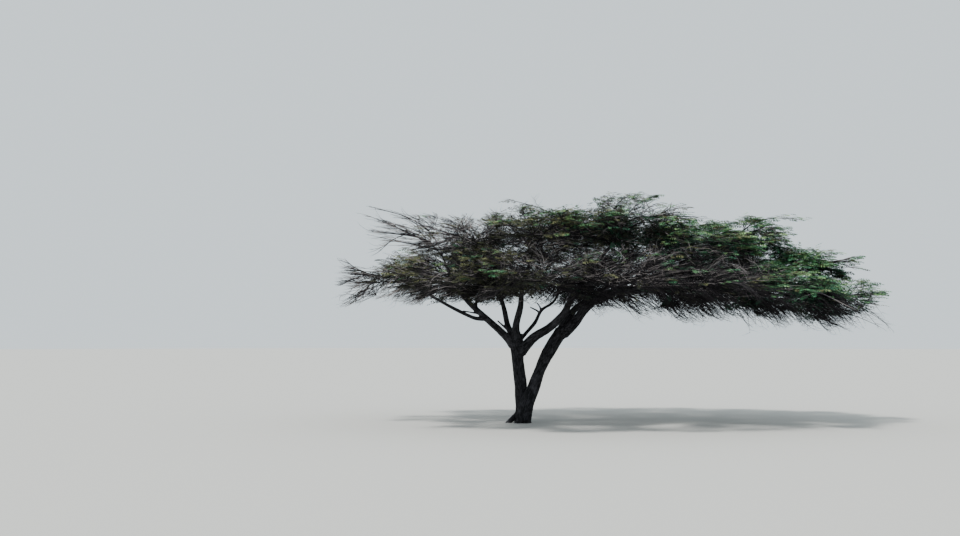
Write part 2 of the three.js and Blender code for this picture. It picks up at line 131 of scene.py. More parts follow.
# The crown's masses: name, heart, reach sideways from it, share of leafy sprays in its upper and in its
# lower part, the limb that its bough leaves, and where on that limb
CROWN = [
    ("windward_top", (-2.24, .1, 4.42), 1.42, .04, .12, "stem_windward", .86),
    ("windward_tip", (-2.98, -.1, 3.39), 1.42, .7, .4, "windward_top", .42),
    ("windward_top_back", (-.93, 1.5, 4.48), 1.35, .25, .2, "stem_windward", .93),
    ("middle_top_front", (.38, -1.6, 4.38), 1.48, .75, .2, "stem_windward", .93),
    ("middle_heart", (.94, .1, 3.72), 1.35, .25, .2, "stem_windward", .91),
    ("peak_front", (2.52, -.9, 4.78), 1.42, .85, .4, "stem_windward", .8),
    ("peak_back", (3.19, 1.6, 4.7), 1.4, .8, .5, "stem_leeward", .95),
    ("lee_tip", (7.44, -.1, 2.96), 1.29, .95, .6, "stem_leeward", .96),
    ("windward_low_front", (-1.65, -1.9, 3.44), 1.42, .6, .42, "windward_top", .62),
    ("windward_low_back", (-1.65, 1.9, 3.54), 1.42, .5, .4, "windward_top", .56),
    ("windward_low_middle", (-.93, .1, 3.4), 1.15, .4, .45, "windward_top", .5),
    ("windward_top_front", (-1.03, -1.4, 4.31), 1.32, .12, .15, "middle_top_front", .72),
    ("middle_low_front", (.27, -2.9, 3.42), 1.5, .5, .42, "middle_top_front", .6),
    ("middle_low_back", (.6, 3, 3.68), 1.5, .55, .5, "windward_top_back", .62),
    ("middle_top_back", (.66, 1.7, 4.61), 1.45, .7, .3, "windward_top_back", .74),
    ("peak_windward", (1.64, .2, 4.64), 1.32, .75, .3, "peak_front", .72),
    ("lee_low_front", (2.1, -2.85, 3.34), 1.5, .16, .08, "peak_front", .6),
    ("lee_low_back", (2.83, 2.9, 3.6), 1.5, .6, .25, "peak_back", .55),
    ("lee_heart", (2.86, 0, 3.5), 1.38, .2, .06, "lee_tip", .34),
    ("lee_middle_front", (3.98, -2.2, 3.26), 1.5, .35, .08, "lee_tip", .43),
    ("lee_middle_back", (4.86, 2.3, 3.44), 1.5, .7, .35, "lee_tip", .5),
    ("lee_middle", (4.73, .15, 3.46), 1.38, .7, .12, "lee_tip", .56),
    ("lee_top_front", (4, -1.2, 4.08), 1.38, .85, .55, "lee_tip", .38),
    ("lee_top_back", (4.7, 1.5, 4.32), 1.38, .9, .65, "peak_back", .72),
    ("lee_top_far", (5.28, .2, 4.43), 1.17, .95, .8, "lee_tip", .62),
    ("lee_far_front", (5.85, -1.45, 3.06), 1.45, .9, .45, "lee_tip", .7),
    ("lee_far_back", (6.56, 1.5, 3.19), 1.43, .9, .6, "lee_tip", .76),
    ("lee_far_top", (7, .1, 3.72), 1.15, .95, .85, "lee_tip", .82),
]

# Sides of the crown: the pieces of the finished tree are made for each of these
SIDES = {
    "windward": [row[0] for row in CROWN if row[0].startswith("windward_")],
    "middle": [row[0] for row in CROWN if row[0].startswith(("middle_", "peak_"))],
    "lee_low": ["lee_low_front", "lee_low_back", "lee_heart", "lee_middle_front", "lee_middle_back",
                "lee_middle"],
    "lee_top": ["lee_top_front", "lee_top_back", "lee_top_far", "lee_far_top"],
    "lee_far": ["lee_far_front", "lee_far_back", "lee_tip"],
}

# Boughs: the gap that keeps a mass from its bough, and the rules of the solids' girths and courses
GAP = .00035
BOUGH_TIP = .023  # radius of a bough where its mass begins
BOUGH_TAPER = .62  # power of the distance from the tip that a bough's radius follows
FOOT_SHARE = .62  # a side bough's foot against the girth of the bough it leaves
SLIMMEST_FOOT = .032
LEAVES_ALONG = .38  # share of its length that a side bough goes on along its parent
ENTERS_AT = .5  # share of the mass's reach, from its heart, where the bough ends
FLATNESS = .45  # height of a mass's space against its width

# Spines and twigs. A mass has one spine, and its twigs leave that for aims spread evenly over the mass.
TWIG_REACH = .97  # share of the mass's reach that the spine and the twigs get to
SPINE_RISE = .2  # how far the end of a spine rises over the heart, against the height of the mass
TURNS_AT = .45  # share of the way to its end that a twig goes before it turns
AIM_STEP = (.7548776662, .569840291)  # from one aim to the next, in turns round and in shares of the height
FIRST_AIM = .03
AIMS_OF_FIRST = (1, 2)  # the highest aim of the solids' own twigs, and how far below it the aims go
AIMS_OF_OTHERS = (.75, 1.7)
AIM_SHARES = np.arange(1, .25, -.06)  # an aim outside its mass's space is pulled in
SPINE_SLOPE = .42  # how much further along the spine a twig leaves that aims further outward
SPINE_SHIFT = .1
SPINE_SHARES = (.1, .86)  # where the first and the last twig may leave
SHORTENED_TO = np.arange(1, .45, -.1)  # a twig that doesn't fit is shortened to one of these shares
CHECKED_SHARES = (1 / 3, 2 / 3, 1)
NEARER = .08  # how much nearer a twig stays to its own mass's heart than to another's, in square metres
SHOOT_BEYOND = .05  # how far past its mass's reach a shoot may go, as a share of the square of that reach
SPRAY_BEYOND = (.05, .2)
GAP_REACH = .6  # the same, for growth that fills a gap between two masses
SPRAY_CHECKED_AT = .6  # a spray has to clear the limbs at this share of it and at its end
LIMB_CLEARANCE = .008
CHECKED_AT_ONCE = 20000
MEASURED_SPOTS = 7  # places on a twig between which its length is measured

# Shoots and finer orders leave left and right in turn, all along a twig. Here and below, a pair of values
# that chance picks between is the least one and how much more it may be.
GOLDEN = .618034
ALONG_TWIG = (.2, .75)
SPREAD = (.6, .5)  # angle between a shoot and its twig, radians
SWING_MIDDLE = .45  # under a half, so that more shoots rise than fall
LEAN_OUT = .3  # how strongly a shoot leans the way its part of the mass faces
SHOOT_LENGTH = (.62, .3)  # against its twig's, less so much for one that leaves at the tip
LENGTH_VARIES = (.75, .5)

# Habits of the orders: how far they rise or fall, how far the wind bends them, and how wide they spread
SHOOT_HABIT = (.8, .4, .9)
SPRAY_HABIT = (.8, .6, .8)
TWIGLET_HABIT = (1.1, .5, .8)
HANGER_TWIGLET_HABIT = (1.1, .1, 1.3)

# Sizes of the orders, times the length that the rule above gives
SHOOT_SIZE = 1.2
BARE_IS_LONGER = .5  # how much is added to that for the shoots of a mass with no leaves
SPRAY_SIZE = 1.4
TWIGLET_SIZE = 1.5
OUTER_SPRAY_SIZE = .5
LONGEST_FORKED = .42  # the length of spray up to which its twiglets get longer

# The wind lays the twigs level to leeward, and streams them out in long narrow arcs at the windward edge
PARTING = .3  # the place along the crown where its two halves part
LAID_FROM = 2.8  # the wind has levelled the twigs from here on, fully so after the next value
LAID_OVER = 2
LEVELLED = .35
EDGE_FROM = -1.4  # the windward edge starts to tell here, and tells fully after the next value
EDGE_OVER = 1.6
EDGE_STREAM = .9
EDGE_NARROWER = .35

# How far the growth is carried here: twigs of a mass, shoots of a twig, sprays of a shoot and so on
SOLID_TWIGS = 6
TWIGS = 12
SHOOTS = 8
SPRAYS = 7
LEAVES = 4
TWIGLETS = 6
HANGERS = 8
TWIGLETS_OF_HANGERS = 6
FILLERS = 3
WHIPS = 2
SPRAYS_OF_BARE = 10

# Orders of twig: radii where it starts and ends, sides, rings, and its darkest and its lightest tint
ORDERS = {
    "spines": (.02, .008, 6, 8, 0, 0),
    "twigs": (.012, .0045, 5, 6, 0, 1),
    "bare twigs": (.019, .005, 5, 8, 1, 1),
    "shoots": (.0072, .003, 4, 3, 0, 3),
    "leafy sprays": (.0055, .0022, 3, 2, 0, 3),
    "bare sprays": (.0055, .0022, 3, 2, 0, 3),
    "hangers": (.0092, .0034, 3, 3, 0, 3),
    "twiglets": (.0036, .0012, 3, 1, 0, 3),
    "whips": (.0062, .0022, 3, 5, 0, 3),
}

# Salts of the keys of each order. The draws from one key have small salts of their own.
MASS_SALT = 7
SPINE_SALT = 9
TWIG_SALT = 1000
BARE_TWIG_SALT = 200
SHOOT_SALT = 50
FILLER_SALT = 300
FILLER_SALTS_APART = 20
HANGER_SALT = 90
WHIP_SALT = 95
WHIP_DRAW = 60
LEAF_SALT = 70
TWIGLET_DRAW = 120

# How far past the solids' box the ends of sprays and of the finest twigs may go
SPRAY_MARGIN = .03
TWIGLET_MARGIN = .15

# A place this little above the crown's underside, or below its top, counts as at it
UNDERSIDE = .38
TOPSIDE = .3

# Places in the crown as it is seen from the side are given by their middle, along and up, and by half their
# size both ways. Where the crown is open, and the share of the sprays that stays there:
OPEN_PLACES = [
    ((-3.2, 4.65), (.7, .48), .25),
    ((-3.35, 4.3), (.55, .28), .35),
    ((-3.7, 3.95), (.45, .3), .25),
    ((-4.15, 3.6), (.5, .55), .4),
    ((-2.1, 4.75), (.6, .25), .8),
    ((-1.45, 4.55), (.6, .4), .36),
    ((-2.25, 4.48), (.6, .18), .45),
    ((1.85, 5.35), (.45, .25), .25),
    ((3.65, 5.1), (.6, .35), .25),
    ((1.2, 5.13), (1.3, .15), .45),
    ((3.15, 5.08), (.55, .22), .32),
    ((6.45, 4.7), (.65, .35), .4),
    ((7.4, 4.2), (.5, .25), .4),
    ((8.2, 3.89), (.6, .3), .16),
    ((8.15, 3.09), (.55, .33), .26),
    ((8.95, 3.05), (.35, .6), .05),
    ((9, 2.48), (.5, .38), .15),
    ((5.15, 4.52), (.45, .15), .55),
]

# Where the crown is densest, and how far a spray may turn into such a place
DENSE_PLACES = [
    ((2.4, 4.25), (.6, .35)),
    ((3.15, 4.25), (.5, .35)),
    ((4.9, 3.85), (.9, .3)),
    ((5.95, 4), (.55, .3)),
    ((6.6, 3.95), (.5, .25)),
    ((-1.2, 4.08), (.5, .13)),
    ((.7, 4.65), (.5, .15)),
    ((4.1, 2.88), (1.9, .25)),
    ((-.3, 3.13), (.7, .12)),
    ((-3.3, 3.52), (.55, .16)),
    ((7.4, 2.95), (.8, .28)),
    ((2.15, 5.26), (.45, .12)),
]
LONGEST_FILLER = .75
FILLERS_LEAVE = (.35, .6)
FILLERS_FOLLOW = .7  # the share of the shoot whose heading they leave with
FILLERS_HEAD_FOR = 1.5
FILLERS_ACROSS = .6

# The mat of fine dead twigs that fills the lee side below its leaves: its place, the share of leafy sprays
# that stays there, and how much paler its twigs are
DEAD_MAT = ((2.9, 3.64), (2.3, .4))
MAT_LEAFY = .35
MAT_PALER = .1

# Long bare twigs that stand out: the mass, the share of its spine where each leaves, its bend and its end
BARE_TWIGS = [
    ("windward_top", .05, (-2.1, 0, 4.95), (-3.55, -.05, 5.12)),
    ("windward_top", .3, (-3, -.5, 4.7), (-3.75, -.55, 4.95)),
    ("windward_top", .2, (-2.7, -.8, 4.25), (-3.5, -1, 4.4)),
    ("windward_tip", .4, (-3.9, -.2, 3.5), (-4.25, -.2, 3.95)),
    ("windward_tip", .3, (-3.6, -.6, 3.3), (-4.2, -.7, 3.35)),
    ("peak_windward", .1, (.95, -.6, 5.08), (-.48, -.7, 5.3)),
    ("peak_front", .05, (1.9, -1.4, 4.4), (.95, -1.7, 4)),
    ("peak_front", .15, (2.25, -1.3, 4.85), (2.8, -1.4, 5.23)),
    ("lee_top_far", .3, (5.7, .1, 5.1), (6.87, .15, 4.85)),
    ("lee_tip", .6, (8.1, -.1, 3.1), (8.6, -.15, 3.08)),
]

# The fringe of dead twigs: places along the crown, and the height there of its even lower line. The other
# values along the crown are given in the same way.
UNDERSIDE_LINE = ([-4.2, -3.6, -2.5, 0, 1.5, 3, 5, 7.5], [2.98, 2.84, 3, 2.92, 2.72, 2.42, 2.23, 2.12])
DEAD_SHOOTS = ([-3.5, -2, 1, 2, 6, 7.2, 8.2], [.55, .36, .5, .76, .76, .54, .12])
HANG_ZONE = .95  # height above that line from which dead twigs hang
HANG_ALONG = (.2, .8)
HANG_STEEPNESS = ([-3, 0, 2.5, 6], [.25, .4, 1.2, .8])  # fall over run
STEEP_WITHIN = .22  # and steeper this close to the line
STEEP_ABOVE = .35
STEEP_BELOW = 1.1
STEEP_VARIES = (.55, .5, .8)  # least, and more by chance for each twig and for each clump of them
FALLS_PAST = .08
FALL_VARIES = (.35, .42, .5)
LONGEST_FALL = .48
LONGEST_VARIES = (.75, .6)
LONGEST_TRAIL = .7
TRAIL_VARIES = (.55, .75)
TRAIL_ACROSS = 1.9
TRAIL_TURNS_AT = .6
SAG = (.05, .4)
HANG_SWAY = .55

# Whips: long bare twigs at the windward edge, which run out and then curl upwards
WHIPS_BEYOND = -2.4
WHIPS_KEPT = .55
WHIP_ALONG = (.55, .4)
WHIP_LENGTH = (.45, .45)
WHIP_RUNS_FOR = .55  # share of its length before it curls
WHIP_CURLS_FOR = .45
WHIP_ACROSS = .5
WHIP_CURLS_BACK = -.35
WHIP_RISES = (.3, 1.1)

# Leaves: twice feathered, so each is a midrib with pairs of pinnae and one more at its tip. A pinna has its
# place on the midrib, its angle and its length.
LEAF_LENGTH = .165
LEAF_VARIES = (.75, .5)
PINNA_PAIRS = [(.28, 1.1, .4), (.54, .9, .46), (.8, .62, .4)]
END_PINNA = (.84, 0, .4)
PINNA_WIDTH = .34
PINNA_WIDEST = .45
PINNA_FOLD = .06
PINNA_HANGS = .1
LEAF_DROOP = .16
LEAF_TILT = .6
LEAF_ALONG = (.3, .5)
LEAF_ANGLE = .8
LEAF_STREAM = .35
LEAF_LEVEL = .5
LEAF_SWING = .35

# Where sprays have leaves: the part of a mass where the lower share gives way to the upper one, and the
# windward edge, where the wind burns the leaves off
LEAFIER_SLOPE = 1.6
LEAFIER_FROM = .3
BURNT_TO_WINDWARD = -3.7
BURNT_OVER = 1.1
LEAST_SHELTERED = .06
TWIGLETS_LEFT = ([-4.5, -1.5], [.25, 1])

# Colours, dark to light. Each list holds lit and shaded copies of one colour, so the tint that a leaf or twig
# gets is partly painted light and shade
LEAF_TINTS = ["#0f2119", "#193427", "#264b38", "#3a6648", "#588259", "#87a670"]
DRY_LEAF_TINTS = ["#1c1e18", "#393b2b", "#666848"]
TWIG_TINTS = ["#141215", "#272427", "#474447", "#97908f"]
LEAF_FINISH = (.6, .14)  # roughness and shine
TWIG_FINISH = (.85, .1)
BARK_SHADES = [(.05, "#0c0c0e"), (.4, "#1f1f23"), (.75, "#434145")]
WEATHERED_BARK = "#4f4e53"

# How they are dealt out: a leaf's light, which is painted highlight at the top of the crown and higher in
# each mass, painted shade below the top, and chance; the share of dry sprays along the crown, and the shares
# of twigs that stay under each of the lighter tints
LEAF_LIGHT = .04
# painted highlight on the leaves at the top of the crown
TOP_PAINTED_HIGHLIGHT = .29
# painted highlight on the leaves higher in their mass
HIGHER_PAINTED_HIGHLIGHT = .07
SPRAY_LIGHTER = .3
LEAF_LIGHTER = .38
# painted shade on the leaves below the top of the crown
PAINTED_SHADE_BELOW = .84
LIGHTEST = .999  # just under 1, so that there is a tint for it
DRYNESS = ([-4, -1, 2, 5, 8], [.95, .86, .5, .2, .08])
DRIER_BELOW = .18
TWIG_SHARES = [.36, .68, .87]
# painted light on the twigs along the crown, most of it to windward
PAINTED_LIGHT_ALONG = ([-3, 0, 3], [.16, .05, .04])

# The shade under the lee side: how high it reaches over the underside, over what height it fades, how deep
# it is along the crown, and how much of the light it takes
SHADE_HEIGHT = .2
SHADE_FADES_OVER = .5
SHADE_ALONG = ([0, 2, 6, 8], [.1, .85, .7, .2])
SHADE_TAKES = .7

# Wood: every limb is a round tube with a collar where it leaves its parent. The tubes are fused, smoothed,
# given the relief of old bark and cut flat at the ground.
STATION_STEP = .035
COARSE_STEP = .09
MEASURED_IN = 200
FEWEST_STATIONS = 4
STEEP_LIMB = .7
TUBE_SIDES = 12
STUB_SIDES = 8
COLLAR_SWELL = .3
COLLAR_LENGTH = 1.2  # against the limb's radius at its foot
COLLAR_ROOT = .62
STUB_TAPER = .4
BUTTRESS_HEART = .02
BUTTRESS_KNEE = .42
BUTTRESS_DEPTH = -.06
BUTTRESS_TAPER = .5
VOXEL = .0135
LOST_IN_FUSING = .004  # what fusing and smoothing take off the radius of a thin stub
SMOOTHING = .5
SMOOTHED_TIMES = 5
WOOD_TRIANGLES = 90000
FLUTE_SIZE = .085
FLUTE_DEPTH = .085
RIDGE_SIZE = .03
RIDGE_DEPTH = .05
KNOT_SIZE = .3
KNOT_DEPTH = .09
GRAIN_STRETCH = .22
GRAIN_SHIFT = 7.3  # keeps two limbs from sharing a pattern
GRAIN_NEIGHBOURS = 5
FULL_RELIEF_GIRTH = .16  # a thicker limb has no deeper relief than this one

# Bark: a scale is the number of features to a metre, and a stretch under 1 makes them longer that way
FIBRE_STRETCH = (1, 1, .13)
FIBRE_SCALE = 120
FIBRE_HEIGHT = .3
PLATE_SCALE = 30
FISSURE_WIDTH = .17
WEAVE_SCALE = 11
WEAVE = (.07, .07, .07)
CRACK_STRETCH = (.6, .6, 1)
CRACK_SCALE = 21
CRACK_WIDTH = .07
LEFT_IN_CRACKS = .5
PATCH_SCALE = 5
PATCH_EDGE = (.55, .75)
PATCH_STRENGTH = .5
FISSURE_ROUGHNESS = .95
PLATE_ROUGHNESS = .78
BARK_SHINE = .2
BARK_RELIEF = .008
RELIEF_STRENGTH = .8

UP = np.array([0.0, 0.0, 1.0])
ACROSS = np.array([0.0, 1.0, 0.0])
DOWNWIND = np.array([1.0, 0.0, 0.0])
ASLANT = np.array([.13, .21, .97])  # a direction that hardly any twig follows
TINY = 1e-9  # the shortest length that a direction is divided by

# Seeded chance: the same key and salt always give the same number
WORD = np.uint64(0xFFFFFFFF)
STIR_SALT = np.uint64(0x9E3779B1)
STIR_KEY = np.uint64(0x85EBCA6B)
STIR_AGAIN = np.uint64(0xC2B2AE35)
FOLD = np.uint64(15)
FOLD_AGAIN = np.uint64(13)


def mix(key, salt):
    """The key that this salt makes of a key"""
    key = np.asarray(key, dtype=np.uint64)
    salt = np.asarray(salt, dtype=np.uint64)
    mixed = ((key ^ (salt * STIR_SALT & WORD)) * STIR_KEY) & WORD
    mixed ^= mixed >> FOLD
    mixed = (mixed * STIR_AGAIN) & WORD
    mixed ^= mixed >> FOLD_AGAIN
    return mixed


def chance(key, salt):
    return mix(key, salt) / 2.0**32


def drawn(key, salt, low, more):
    """A number from low up to so much more"""
    return low + more * chance(key, salt)


def fraction(x):
    return x - np.floor(x)


def unit(v):
    return v / np.maximum(np.linalg.norm(v, axis=-1, keepdims=True), TINY)


def column(values):
    return np.reshape(values, (-1, 1))


def sideways(heading):
    """Level, and square to each heading"""
    return unit(np.column_stack([-heading[:, 1], heading[:, 0], np.zeros(len(heading))]))


def within(places, middle, half_size):
    """1 inside an oval of the crown as it is seen from the side, 0 well outside it"""
    off = ((places[:, 0] - middle[0]) / half_size[0]) ** 2 + ((places[:, 2] - middle[1]) / half_size[1]) ** 2
    return np.clip(2 - off, 0, 1)


# Limbs. A line is a function from a share of its length to a place.
def coursed(points):
    """The smooth line through these places"""
    points = np.array(points, dtype=float)
    knots = np.vstack([2 * points[0] - points[1], points, 2 * points[-1] - points[-2]])

    def line(share):
        place = np.clip(share, 0, 1) * (len(points) - 1)
        low = np.minimum(place.astype(int), len(points) - 2)
        w = column(place - low)
        before, here, after, beyond = (knots[low + i] for i in range(4))
        leaving = (after - before) / 2
        arriving = (beyond - here) / 2
        turn = 3 * (after - here) - 2 * leaving - arriving
        close = leaving + arriving - 2 * (after - here)
        return here + leaving * w + turn * w**2 + close * w**3

    return line


def arc(start, turn, end, t):
    """The place at share t of the arc that leaves start, turns at turn and ends at end"""
    return (1 - t) ** 2 * start + 2 * (1 - t) * t * turn + t**2 * end


def curved(start, turn, end):
    """The line along that arc"""
    return lambda share: arc(start, turn, end, column(share))


def place_on(line, share):
    return line(np.array([float(share)]))[0]


def heading_on(line, share):
    step = 1e-4
    near, far = line(np.array([max(share - step, 0.0), min(share + step, 1.0)]))
    return unit(far - near)


class Limb:
    """A stem or bough: its line, its radius at a share of it, and its parent's radius where it leaves that"""

    def __init__(self, line, radius_at, parent_radius=0.0):
        self.line = line
        self.radius_at = radius_at
        self.parent_radius = parent_radius


def stem(name):
    girth = np.array(STEMS[name]["girth"])
    stations = np.linspace(0, 1, len(girth))
    return Limb(coursed(STEMS[name]["course"]), lambda share: np.interp(share, stations, girth))


def bough_line(parent, name, heart, reach, at):
    foot = place_on(parent.line, at)
    if name in MAIN_BOUGHS:
        return coursed([foot, *MAIN_BOUGHS[name][1]])
    towards = np.array(heart) - foot
    length_across = math.hypot(towards[0], towards[1], towards[2] / FLATNESS)
    tip = np.array(heart) - towards * ENTERS_AT * reach / length_across
    turn = foot + heading_on(parent.line, at) * LEAVES_ALONG * np.linalg.norm(tip - foot)
    return curved(foot, turn, tip)


def bough(parent, name, heart, reach, at):
    parent_radius = parent.radius_at(np.array([at]))[0]
    if name in MAIN_BOUGHS:
        foot = MAIN_BOUGHS[name][0]
    else:
        foot = max(SLIMMEST_FOOT, FOOT_SHARE * parent_radius)

    def radius_at(share):
        return BOUGH_TIP + (foot - BOUGH_TIP) * (1 - share) ** BOUGH_TAPER

    return Limb(bough_line(parent, name, heart, reach, at), radius_at, parent_radius)


def grow_limbs():
    limbs = {name: stem(name) for name in STEMS}
    for name, heart, reach, _, _, origin, at in CROWN:
        limbs[name] = bough(limbs[origin], name, heart, reach, at)
    return limbs


limbs = grow_limbs()


class Stations:
    """Places along a limb, each with its heading, two directions across, distance from the foot and radius"""

    def __init__(self, line, radius_at, step=STATION_STEP):
        fine = line(np.linspace(0, 1, MEASURED_IN))
        length = np.linalg.norm(np.diff(fine, axis=0), axis=1).sum()
        count = max(int(length / step), FEWEST_STATIONS)
        share = np.linspace(0, 1, count + 1)
        self.place = line(share)
        steps = np.linalg.norm(np.diff(self.place, axis=0), axis=1)
        self.along = np.concatenate([[0], np.cumsum(steps)])
        self.heading = unit(np.gradient(self.place, axis=0))
        self.radius = radius_at(share)
        side = ACROSS if abs(self.heading[0][2]) > STEEP_LIMB else UP
        sides = []
        for heading in self.heading:
            side = unit(side - heading * side.dot(heading))
            sides.append(side)
        self.side = np.array(sides)
        self.up = np.cross(self.heading, self.side)


# Materials
def linear(hex_colour):
    """The shader's colour for a screen colour"""
    screen = [int(hex_colour[i:i + 2], 16) / 255 for i in (1, 3, 5)]
    return (*(c / 12.92 if c <= .04045 else ((c + .055) / 1.055) ** 2.4 for c in screen), 1.0)


def feed(material, node, inputs):
    """Each input takes a value, or what another node puts out"""
    for name, source in inputs.items():
        if isinstance(source, bpy.types.NodeSocket):
            material.node_tree.links.new(source, node.inputs[name])
        else:
            node.inputs[name].default_value = source


def add_node(material, kind, inputs, **settings):
    """What a new shader node puts out"""
    node = material.node_tree.nodes.new("ShaderNode" + kind)
    for setting, value in settings.items():
        setattr(node, setting, value)
    feed(material, node, inputs)
    return node.outputs


def surfaced(name, inputs):
    material = bpy.data.materials.new(name)
    material.use_nodes = True
    feed(material, material.node_tree.nodes["Principled BSDF"], inputs)
    return material


def plain_material(name, tint, roughness, shine):
    return surfaced(name, {"Base Color": linear(tint), "Roughness": roughness, "Specular IOR Level": shine})


def tinted_materials(name, tints, finish):
    return [plain_material(f"{name}_{i}", tint, *finish) for i, tint in enumerate(tints)]


def bark_plates(bark, along):
    """Plates between long fissures that weave round each other: 0 in a fissure, 1 on a plate"""
    warp = add_node(bark, "TexNoise", {"Vector": along, "Scale": WEAVE_SCALE, "Detail": 4})["Color"]
    woven = add_node(bark, "VectorMath", {0: warp, 1: WEAVE, 2: along}, operation="MULTIPLY_ADD")["Vector"]
    pattern = {"Vector": woven, "Scale": PLATE_SCALE}
    edges = add_node(bark, "TexVoronoi", pattern, feature="DISTANCE_TO_EDGE")["Distance"]
    fissures = {"Value": edges, "From Max": FISSURE_WIDTH}
    return add_node(bark, "MapRange", fissures, interpolation_type="SMOOTHSTEP")["Result"]


def bark_cracks(bark, grain):
    """Short cracks across the plates: a half in a crack, 1 beside it"""
    across = add_node(bark, "Mapping", {"Vector": grain, "Scale": CRACK_STRETCH})["Vector"]
    pattern = {"Vector": across, "Scale": CRACK_SCALE}
    edges = add_node(bark, "TexVoronoi", pattern, feature="DISTANCE_TO_EDGE")["Distance"]
    cracks = {"Value": edges, "From Max": CRACK_WIDTH, "To Min": LEFT_IN_CRACKS}
    return add_node(bark, "MapRange", cracks)["Result"]


def bark_colour(bark, grain, ridge, fibre):
    """Dark bark, lighter on its ridges and where it has weathered"""
    tone = add_node(bark, "Math", {0: ridge, 1: fibre}, operation="MULTIPLY")["Value"]
    shades = add_node(bark, "ValToRGB", {"Fac": tone})["Color"]
    stops = shades.node.color_ramp.elements
    stops.new(BARK_SHADES[1][0])
    for stop, (position, tint) in zip(stops, BARK_SHADES):
        stop.position = position
        stop.color = linear(tint)
    blotches = add_node(bark, "TexNoise", {"Vector": grain, "Scale": PATCH_SCALE, "Detail": 3})["Fac"]
    low, high = PATCH_EDGE
    patches = {"Value": blotches, "From Min": low, "From Max": high, "To Max": PATCH_STRENGTH}
    weathered = add_node(bark, "MapRange", patches)["Result"]
    mixed = {"Factor": weathered, "A": shades, "B": linear(WEATHERED_BARK)}
    return add_node(bark, "Mix", mixed, data_type="RGBA")["Result"]


def bark_material():
    """Old bark. The wood's grain attribute gives the places across and along each limb."""
    bark = surfaced("bark", {"Specular IOR Level": BARK_SHINE})
    grain = add_node(bark, "Attribute", {}, attribute_name="grain")["Vector"]
    along = add_node(bark, "Mapping", {"Vector": grain, "Scale": FIBRE_STRETCH})["Vector"]
    plates = bark_plates(bark, along)
    ridge = add_node(bark, "Math", {0: plates, 1: bark_cracks(bark, grain)}, operation="MULTIPLY")["Value"]
    pattern = {"Vector": along, "Scale": FIBRE_SCALE, "Detail": 5, "Roughness": .7}
    fibre = add_node(bark, "TexNoise", pattern)["Fac"]
    height = add_node(bark, "Math", {0: fibre, 1: FIBRE_HEIGHT, 2: ridge}, operation="MULTIPLY_ADD")["Value"]
    bump = {"Height": height, "Strength": RELIEF_STRENGTH, "Distance": BARK_RELIEF}
    roughness = {"Value": plates, "To Min": FISSURE_ROUGHNESS, "To Max": PLATE_ROUGHNESS}
    feed(bark, bark.node_tree.nodes["Principled BSDF"], {
        "Base Color": bark_colour(bark, grain, ridge, fibre),
        "Roughness": add_node(bark, "MapRange", roughness)["Result"],
        "Normal": add_node(bark, "Bump", bump)["Normal"],
    })
    return bark


# Wood
def tube(stations, radii, sides=TUBE_SIDES):
    """A closed tube round these stations: its places and its faces"""
    angles = np.arange(sides) * 2 * math.pi / sides
    across = stations.side[:, None] * np.cos(angles)[None, :, None]
    across = across + stations.up[:, None] * np.sin(angles)[None, :, None]
    places = stations.place[:, None] + across * radii[:, None, None]
    last = (len(stations.place) - 1) * sides
    faces = []
    for low in range(0, last, sides):
        high = low + sides
        for i in range(sides):
            j = (i + 1) % sides
            faces.append((low + i, low + j, high + j, high + i))
    faces.append(tuple(range(sides))[::-1])
    faces.append(tuple(last + i for i in range(sides)))
    return places.reshape(-1, 3), faces


def collared(limb, stations):
    radii = stations.radius.copy()
    if limb.parent_radius:
        beyond = np.maximum(stations.along - limb.parent_radius, 0)
        radii *= 1 + COLLAR_SWELL * np.exp(-beyond / (COLLAR_LENGTH * stations.radius[0]))
        radii *= COLLAR_ROOT + (1 - COLLAR_ROOT) * np.clip(stations.along / limb.parent_radius, 0, 1)
    return radii


def buttress(bearing, reach, height, thickness):
    angle = math.radians(bearing)
    outward = np.array([math.cos(angle), math.sin(angle), 0])
    inner = np.array([BUTTRESS_HEART, 0, height])
    knee = inner + outward * BUTTRESS_KNEE * reach
    knee[2] = BUTTRESS_KNEE * height
    outer = inner + outward * reach
    outer[2] = BUTTRESS_DEPTH
    stations = Stations(curved(inner, knee, outer), lambda share: thickness * (1 - BUTTRESS_TAPER * share))
    return tube(stations, stations.radius)


def wood_tubes():
    """The tubes of all the wood, and the stations of its limbs and stubs"""
    tubes = []
    all_stations = []
    for limb in limbs.values():
        stations = Stations(limb.line, limb.radius_at)
        all_stations.append(stations)
        tubes.append(tube(stations, collared(limb, stations)))
    for places, radius in STUBS:
        stations = Stations(coursed(places), lambda share: radius * (1 - STUB_TAPER * share))
        all_stations.append(stations)
        tubes.append(tube(stations, stations.radius + LOST_IN_FUSING, STUB_SIDES))
    tubes += [buttress(*form) for form in BUTTRESSES]
    return tubes, all_stations


def joined_mesh(name, parts):
    mesh = bpy.data.meshes.new(name)
    places = []
    faces = []
    for part_places, part_faces in parts:
        first = len(places)
        places.extend(map(tuple, part_places))
        faces.extend(tuple(first + i for i in face) for face in part_faces)
    mesh.from_pydata(places, [], faces)
    return mesh


def new_object(name, data):
    piece = bpy.data.objects.new(name, data)
    bpy.context.scene.collection.objects.link(piece)
    return piece


def apply_modifiers(piece):
    shaped = bpy.data.meshes.new_from_object(piece.evaluated_get(bpy.context.evaluated_depsgraph_get()))
    piece.modifiers.clear()
    piece.data = shaped


def read_vectors(items, field):
    """One field of all vertices or normals, a row for each"""
    values = np.empty(len(items) * 3)
    items.foreach_get(field, values)
    return values.reshape(-1, 3)


